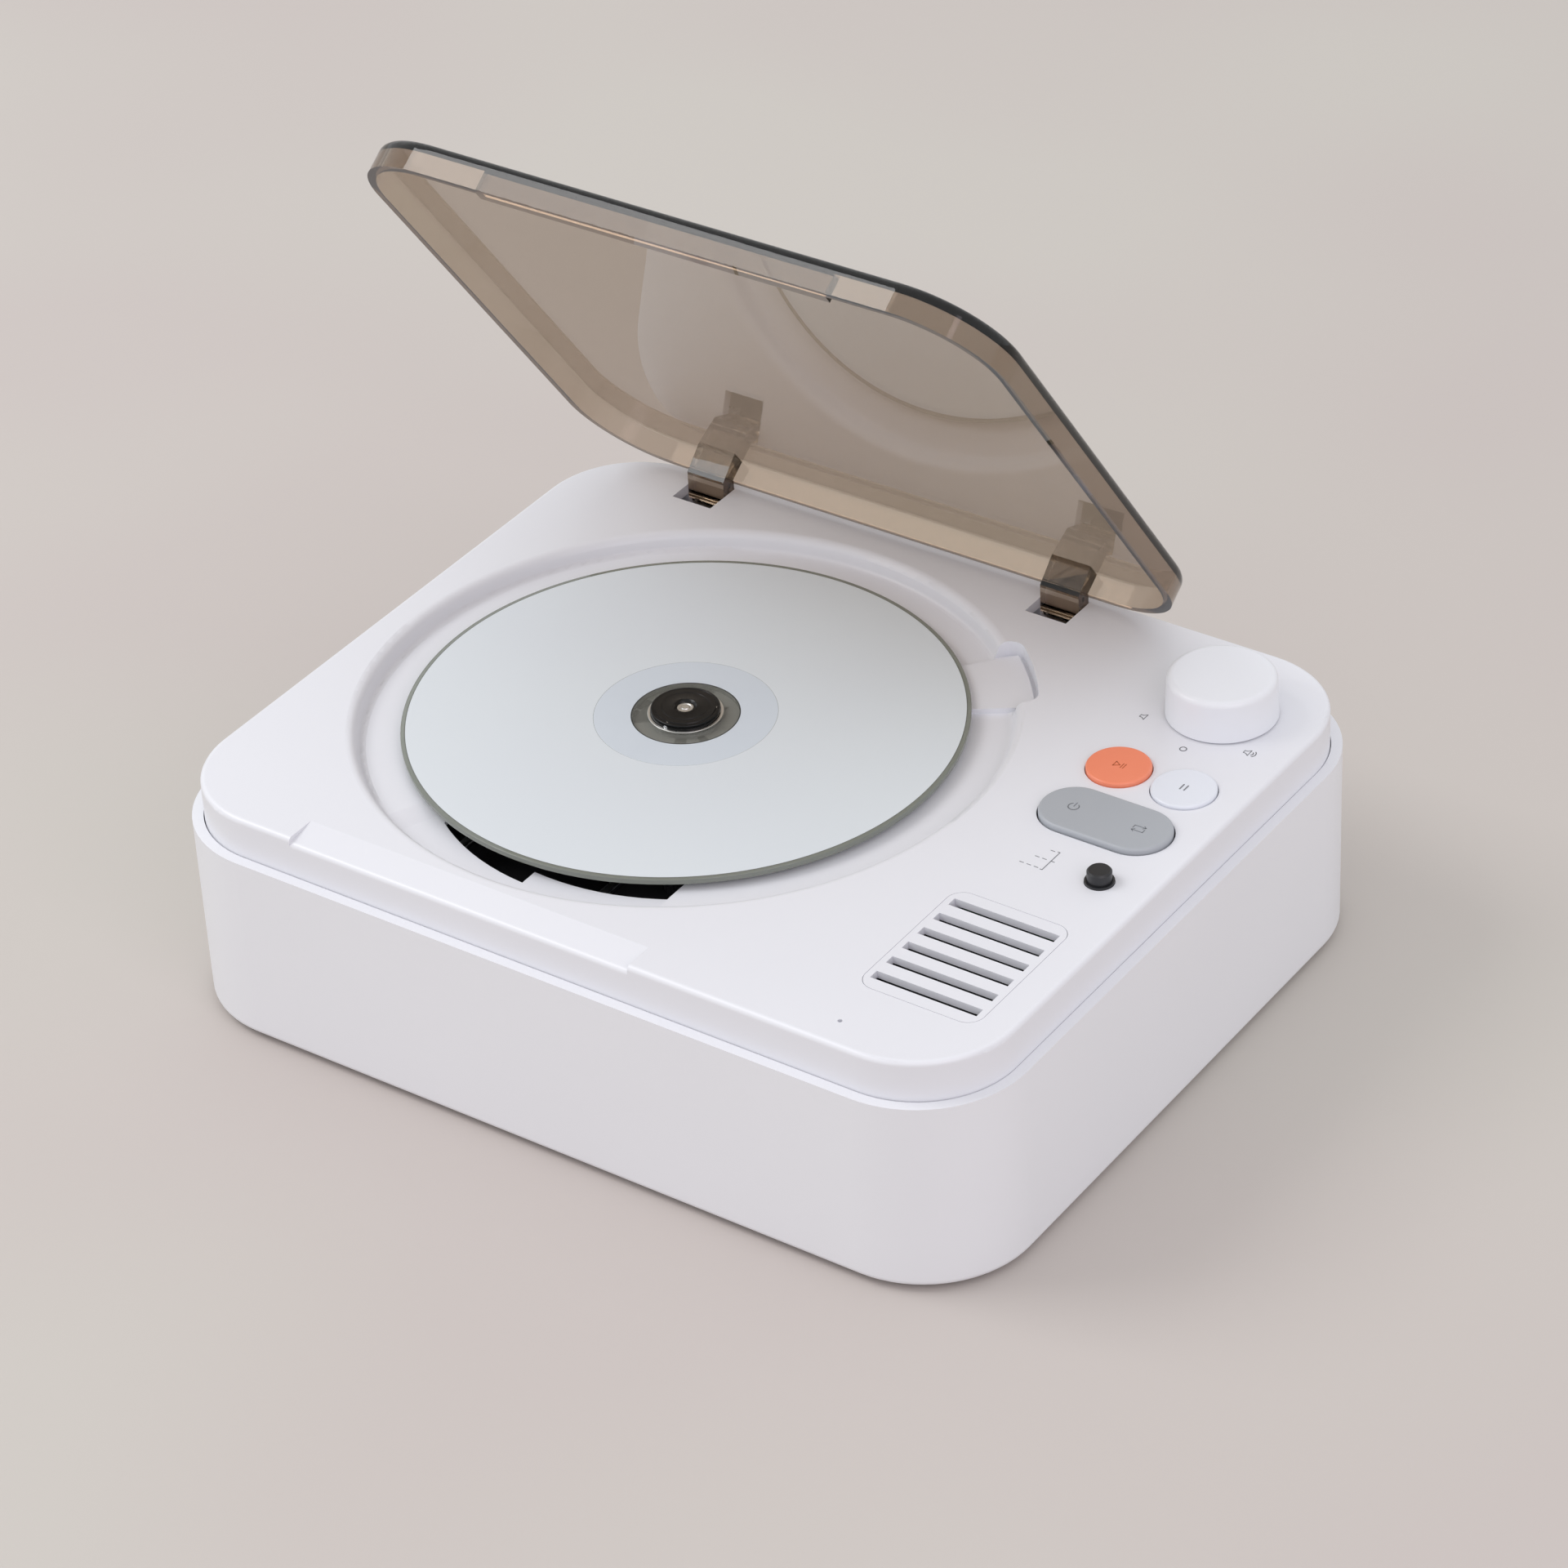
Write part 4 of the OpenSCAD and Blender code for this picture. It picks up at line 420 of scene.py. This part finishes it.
# Knob and buttons: ABS that is coloured white, orange, grey or black, moulded in a finer tool than the deck.
# Their rounded edges carry a soft bright line. The knob is pressed on its steel shaft, the rocker tilts on a
# pin, and the other buttons stand in their holes.
knob_abs = moulded("white_abs_fine_knob", "#EDEFF5", "#EAECF2", 0.30, grain=0.35)
button_white = moulded("white_abs_fine_button", "#E8EBF4", "#E4E8F1", 0.30, grain=0.35)
orange_abs = moulded("orange_abs_fine_button", "#F79170", "#F48B69", 0.32, patch=12)
grey_abs = moulded("grey_abs_satin_rocker", "#AEB2B8", "#AAAEB4", 0.40, patch=20)
black_abs = moulded("black_abs_satin", "#1C1D20", "#232427", 0.36, patch=6)
paint(knob_abs, "volume_knob")
paint(button_white, "white_button")
paint(orange_abs, "orange_button")
paint(grey_abs, "grey_rocker")
paint(black_abs, "mode_button", "mode_button_collar")


# Printed signs: pad-printed ink, a few hundredths of a millimetre thick, on the deck and on the buttons.
# They are plain signs of their kind: play, pause, power, repeat, loudness, and one to three dashes for the
# modes. The ink is matt and a little darker than what it lies on, so each sign is faint.
DECK_TOP, ORANGE_TOP, WHITE_TOP, ROCKER_TOP = 53.5, 54.5, 54.3, 54.8
ORANGE_AT, WHITE_AT = (69.25, 27.2), (84.75, 27.2)
ROCKER_LEFT, ROCKER_RIGHT = (69.4, 9.4), (84.8, 9.4)
INK_LIFT, INK_DEPTH = 0.005, 0.03
END_BEVEL = 0.6


def inked(name, strokes, spot, z, finish, body, width=0.2, scale=1.0):
    """Ink lines of one width along each stroke's points, in millimetres about spot. Their bevelled ends fill
    the joints between them."""
    bm = bmesh.new()
    low = z + INK_LIFT
    high = low + INK_DEPTH
    for points in strokes:
        path = [Vector((spot[0] + x * scale, spot[1] + y * scale)) for x, y in points]
        for a, b in zip(path, path[1:]):
            run = (b - a).normalized() * width / 2
            side = Vector((-run.y, run.x))
            left = (run + side) * END_BEVEL
            right = (run - side) * END_BEVEL
            outline = [a - run, a - right, a + side, b + side, b + left,
                       b + run, b + right, b - side, a - side, a - left]
            lower = [bm.verts.new((p.x * MM, p.y * MM, low * MM)) for p in outline]
            upper = [bm.verts.new((p.x * MM, p.y * MM, high * MM)) for p in outline]
            bm.faces.new(upper)
            bm.faces.new(lower[::-1])
            for i in range(len(outline)):
                j = (i + 1) % len(outline)
                bm.faces.new((lower[i], lower[j], upper[j], upper[i]))
    piece(name, bm, finish, body)


def bow(x, y, r, start, end, count=14):
    """Points of an arc about (x, y), between two angles in degrees."""
    angles = [math.radians(start + (end - start) * i / count) for i in range(count + 1)]
    return [(x + r * math.cos(a), y + r * math.sin(a)) for a in angles]


play = [[(-1.0, -0.8), (-1.0, 0.8), (0.25, 0), (-1.0, -0.8)]]
bars = [[(0.75, -0.8), (0.75, 0.8)], [(1.3, -0.8), (1.3, 0.8)]]
power = [bow(0, 0, 1.15, 125, 415), [(0, 0.1), (0, 1.45)]]
way_out = [[(-1.3, -0.2), (-1.3, 0.8), (1.1, 0.8)], [(0.7, 1.25), (1.25, 0.8), (0.7, 0.35)]]
way_back = [[(1.3, 0.2), (1.3, -0.8), (-1.1, -0.8)], [(-0.7, -0.35), (-1.25, -0.8), (-0.7, -1.25)]]
pause = [[(-0.5, -0.9), (-0.5, 0.9)], [(0.5, -0.9), (0.5, 0.9)]]
horn = [[(-1.1, -0.35), (-1.1, 0.35), (-0.6, 0.35), (0.0, 0.85), (0.0, -0.85), (-0.6, -0.35), (-1.1, -0.35)]]
waves = [bow(0.1, 0, 0.6, -50, 50, 6), bow(0.1, 0, 1.1, -50, 50, 8)]
grey_ink = moulded("grey_pad_print", "#808287", "#8A8C91", 0.5, grain=0.4, patch=3)
orange_ink = moulded("dark_orange_pad_print", "#C0653C", "#B85F38", 0.5, grain=0.4, patch=3)
rocker_ink = moulded("dark_grey_pad_print", "#808489", "#7A7E83", 0.5, grain=0.4, patch=3)
inked("orange_button_sign", play + bars, ORANGE_AT, ORANGE_TOP, orange_ink, "orange_cap",
      0.22)
inked("white_button_sign", pause, WHITE_AT, WHITE_TOP, grey_ink, "white_cap", 0.34)
inked("rocker_power_sign", power, ROCKER_LEFT, ROCKER_TOP, rocker_ink, "rocker_cap")
inked("rocker_repeat_sign", way_out + way_back, ROCKER_RIGHT, ROCKER_TOP, rocker_ink, "rocker_cap")
KNOB_LOW, KNOB_FRONT, KNOB_HIGH = (64.2, 46.1), (76.9, 40.0), (89.4, 45.6)
ring = [bow(0, 0, 0.6, 0, 360)]
inked("knob_low_sign", horn, KNOB_LOW, DECK_TOP, grey_ink, "player", scale=1.15)
inked("knob_dot_sign", ring, KNOB_FRONT, DECK_TOP, grey_ink, "player", 0.22, 1.2)
inked("knob_high_sign", horn + waves, KNOB_HIGH, DECK_TOP, grey_ink, "player", scale=1.15)

# One, two and three dashes, from the back row to the front one, with a bracket that points at the button.
MODE_LIST = (71.2, -7.6)
DASH, DASH_STEP, ROW_STEP = 0.9, 1.7, 3.2
dashes = []
for row, count in ((1, 1), (0, 2), (-1, 3)):
    for k in range(count):
        x, y = 1.4 - DASH_STEP * k, ROW_STEP * row
        dashes.append([(x, y), (x + DASH, y)])
bracket = [[(2.9, 3.4), (3.4, 3.4), (3.4, -3.4), (2.9, -3.4)], [(3.4, 0), (4.2, 0)]]
inked("mode_list_sign", dashes + bracket, MODE_LIST, DECK_TOP, grey_ink, "player")

# Boards and switches: green solder mask over copper tracks, with black switch bodies soldered on.
# The tracks show as slightly raised lines of a lighter green.
TRACK_PITCH = 6
mask, tree = new_finish("green_solder_mask")
place = add(tree, "TexCoord").outputs["Object"]
tracks = add(tree, "TexBrick", {
    "Vector": place, "Scale": 1000 / TRACK_PITCH, "Mortar Size": 0.05,
    "Color1": srgb("#23573A"), "Color2": srgb("#2A6343"), "Mortar": srgb("#3B7F58")})
bump = add(tree, "Bump", {"Height": tracks.outputs["Fac"], "Strength": 0.3, "Distance": 0.03 * MM})
shader = add(tree, "BsdfPrincipled", {
    "Base Color": tracks.outputs["Color"], "Roughness": 0.32, "IOR": 1.52, "Normal": bump.outputs[0]})
add(tree, "OutputMaterial", {"Surface": shader.outputs[0]})
paint(mask, "main_board", "control_board")
paint(black_abs, "push_switches")
encoder_metal = metal("stamped_encoder_can", "#8B8E93", "#9A9DA1", 0.36, (1.0, 1.0, 1.0))
paint(encoder_metal, "rotary_encoder")

# Speaker: a pressed paper cone in a black-painted steel basket over a ferrite magnet, set below the grille.
# The paper's fibres give the cone a dull, slightly mottled face.
paper = moulded("black_pressed_paper", "#18181A", "#242427", 0.82, grain=1.4, relief=0.08, patch=4, ior=1.5)
basket = moulded("black_painted_steel", "#242528", "#2C2D30", 0.42, grain=0.8, patch=8)
ferrite = moulded("sintered_ferrite", "#4A4B4F", "#55565A", 0.6, grain=0.7, relief=0.05, patch=5, ior=2.0)
paint(paper, "speaker_cone")
paint(basket, "speaker_frame")
paint(ferrite, "speaker_magnet")

# Jack, power inlet and battery: a black ABS jack, the inlet's drawn steel shell, and a flat cell in film.
# The blue film is thin and shiny and lies in faint creases over the cell.
paint(black_abs, "phones_jack")
stainless = metal("drawn_stainless_steel", "#B2B4B7", "#C2C4C6", 0.24, (2.0, 0.2, 2.0))
paint(stainless, "power_inlet")
shrink_film = moulded("blue_shrink_film", "#4F78A6", "#5A82AE", 0.22, grain=5.0, relief=0.15, patch=18)
paint(shrink_film, "battery_pack")
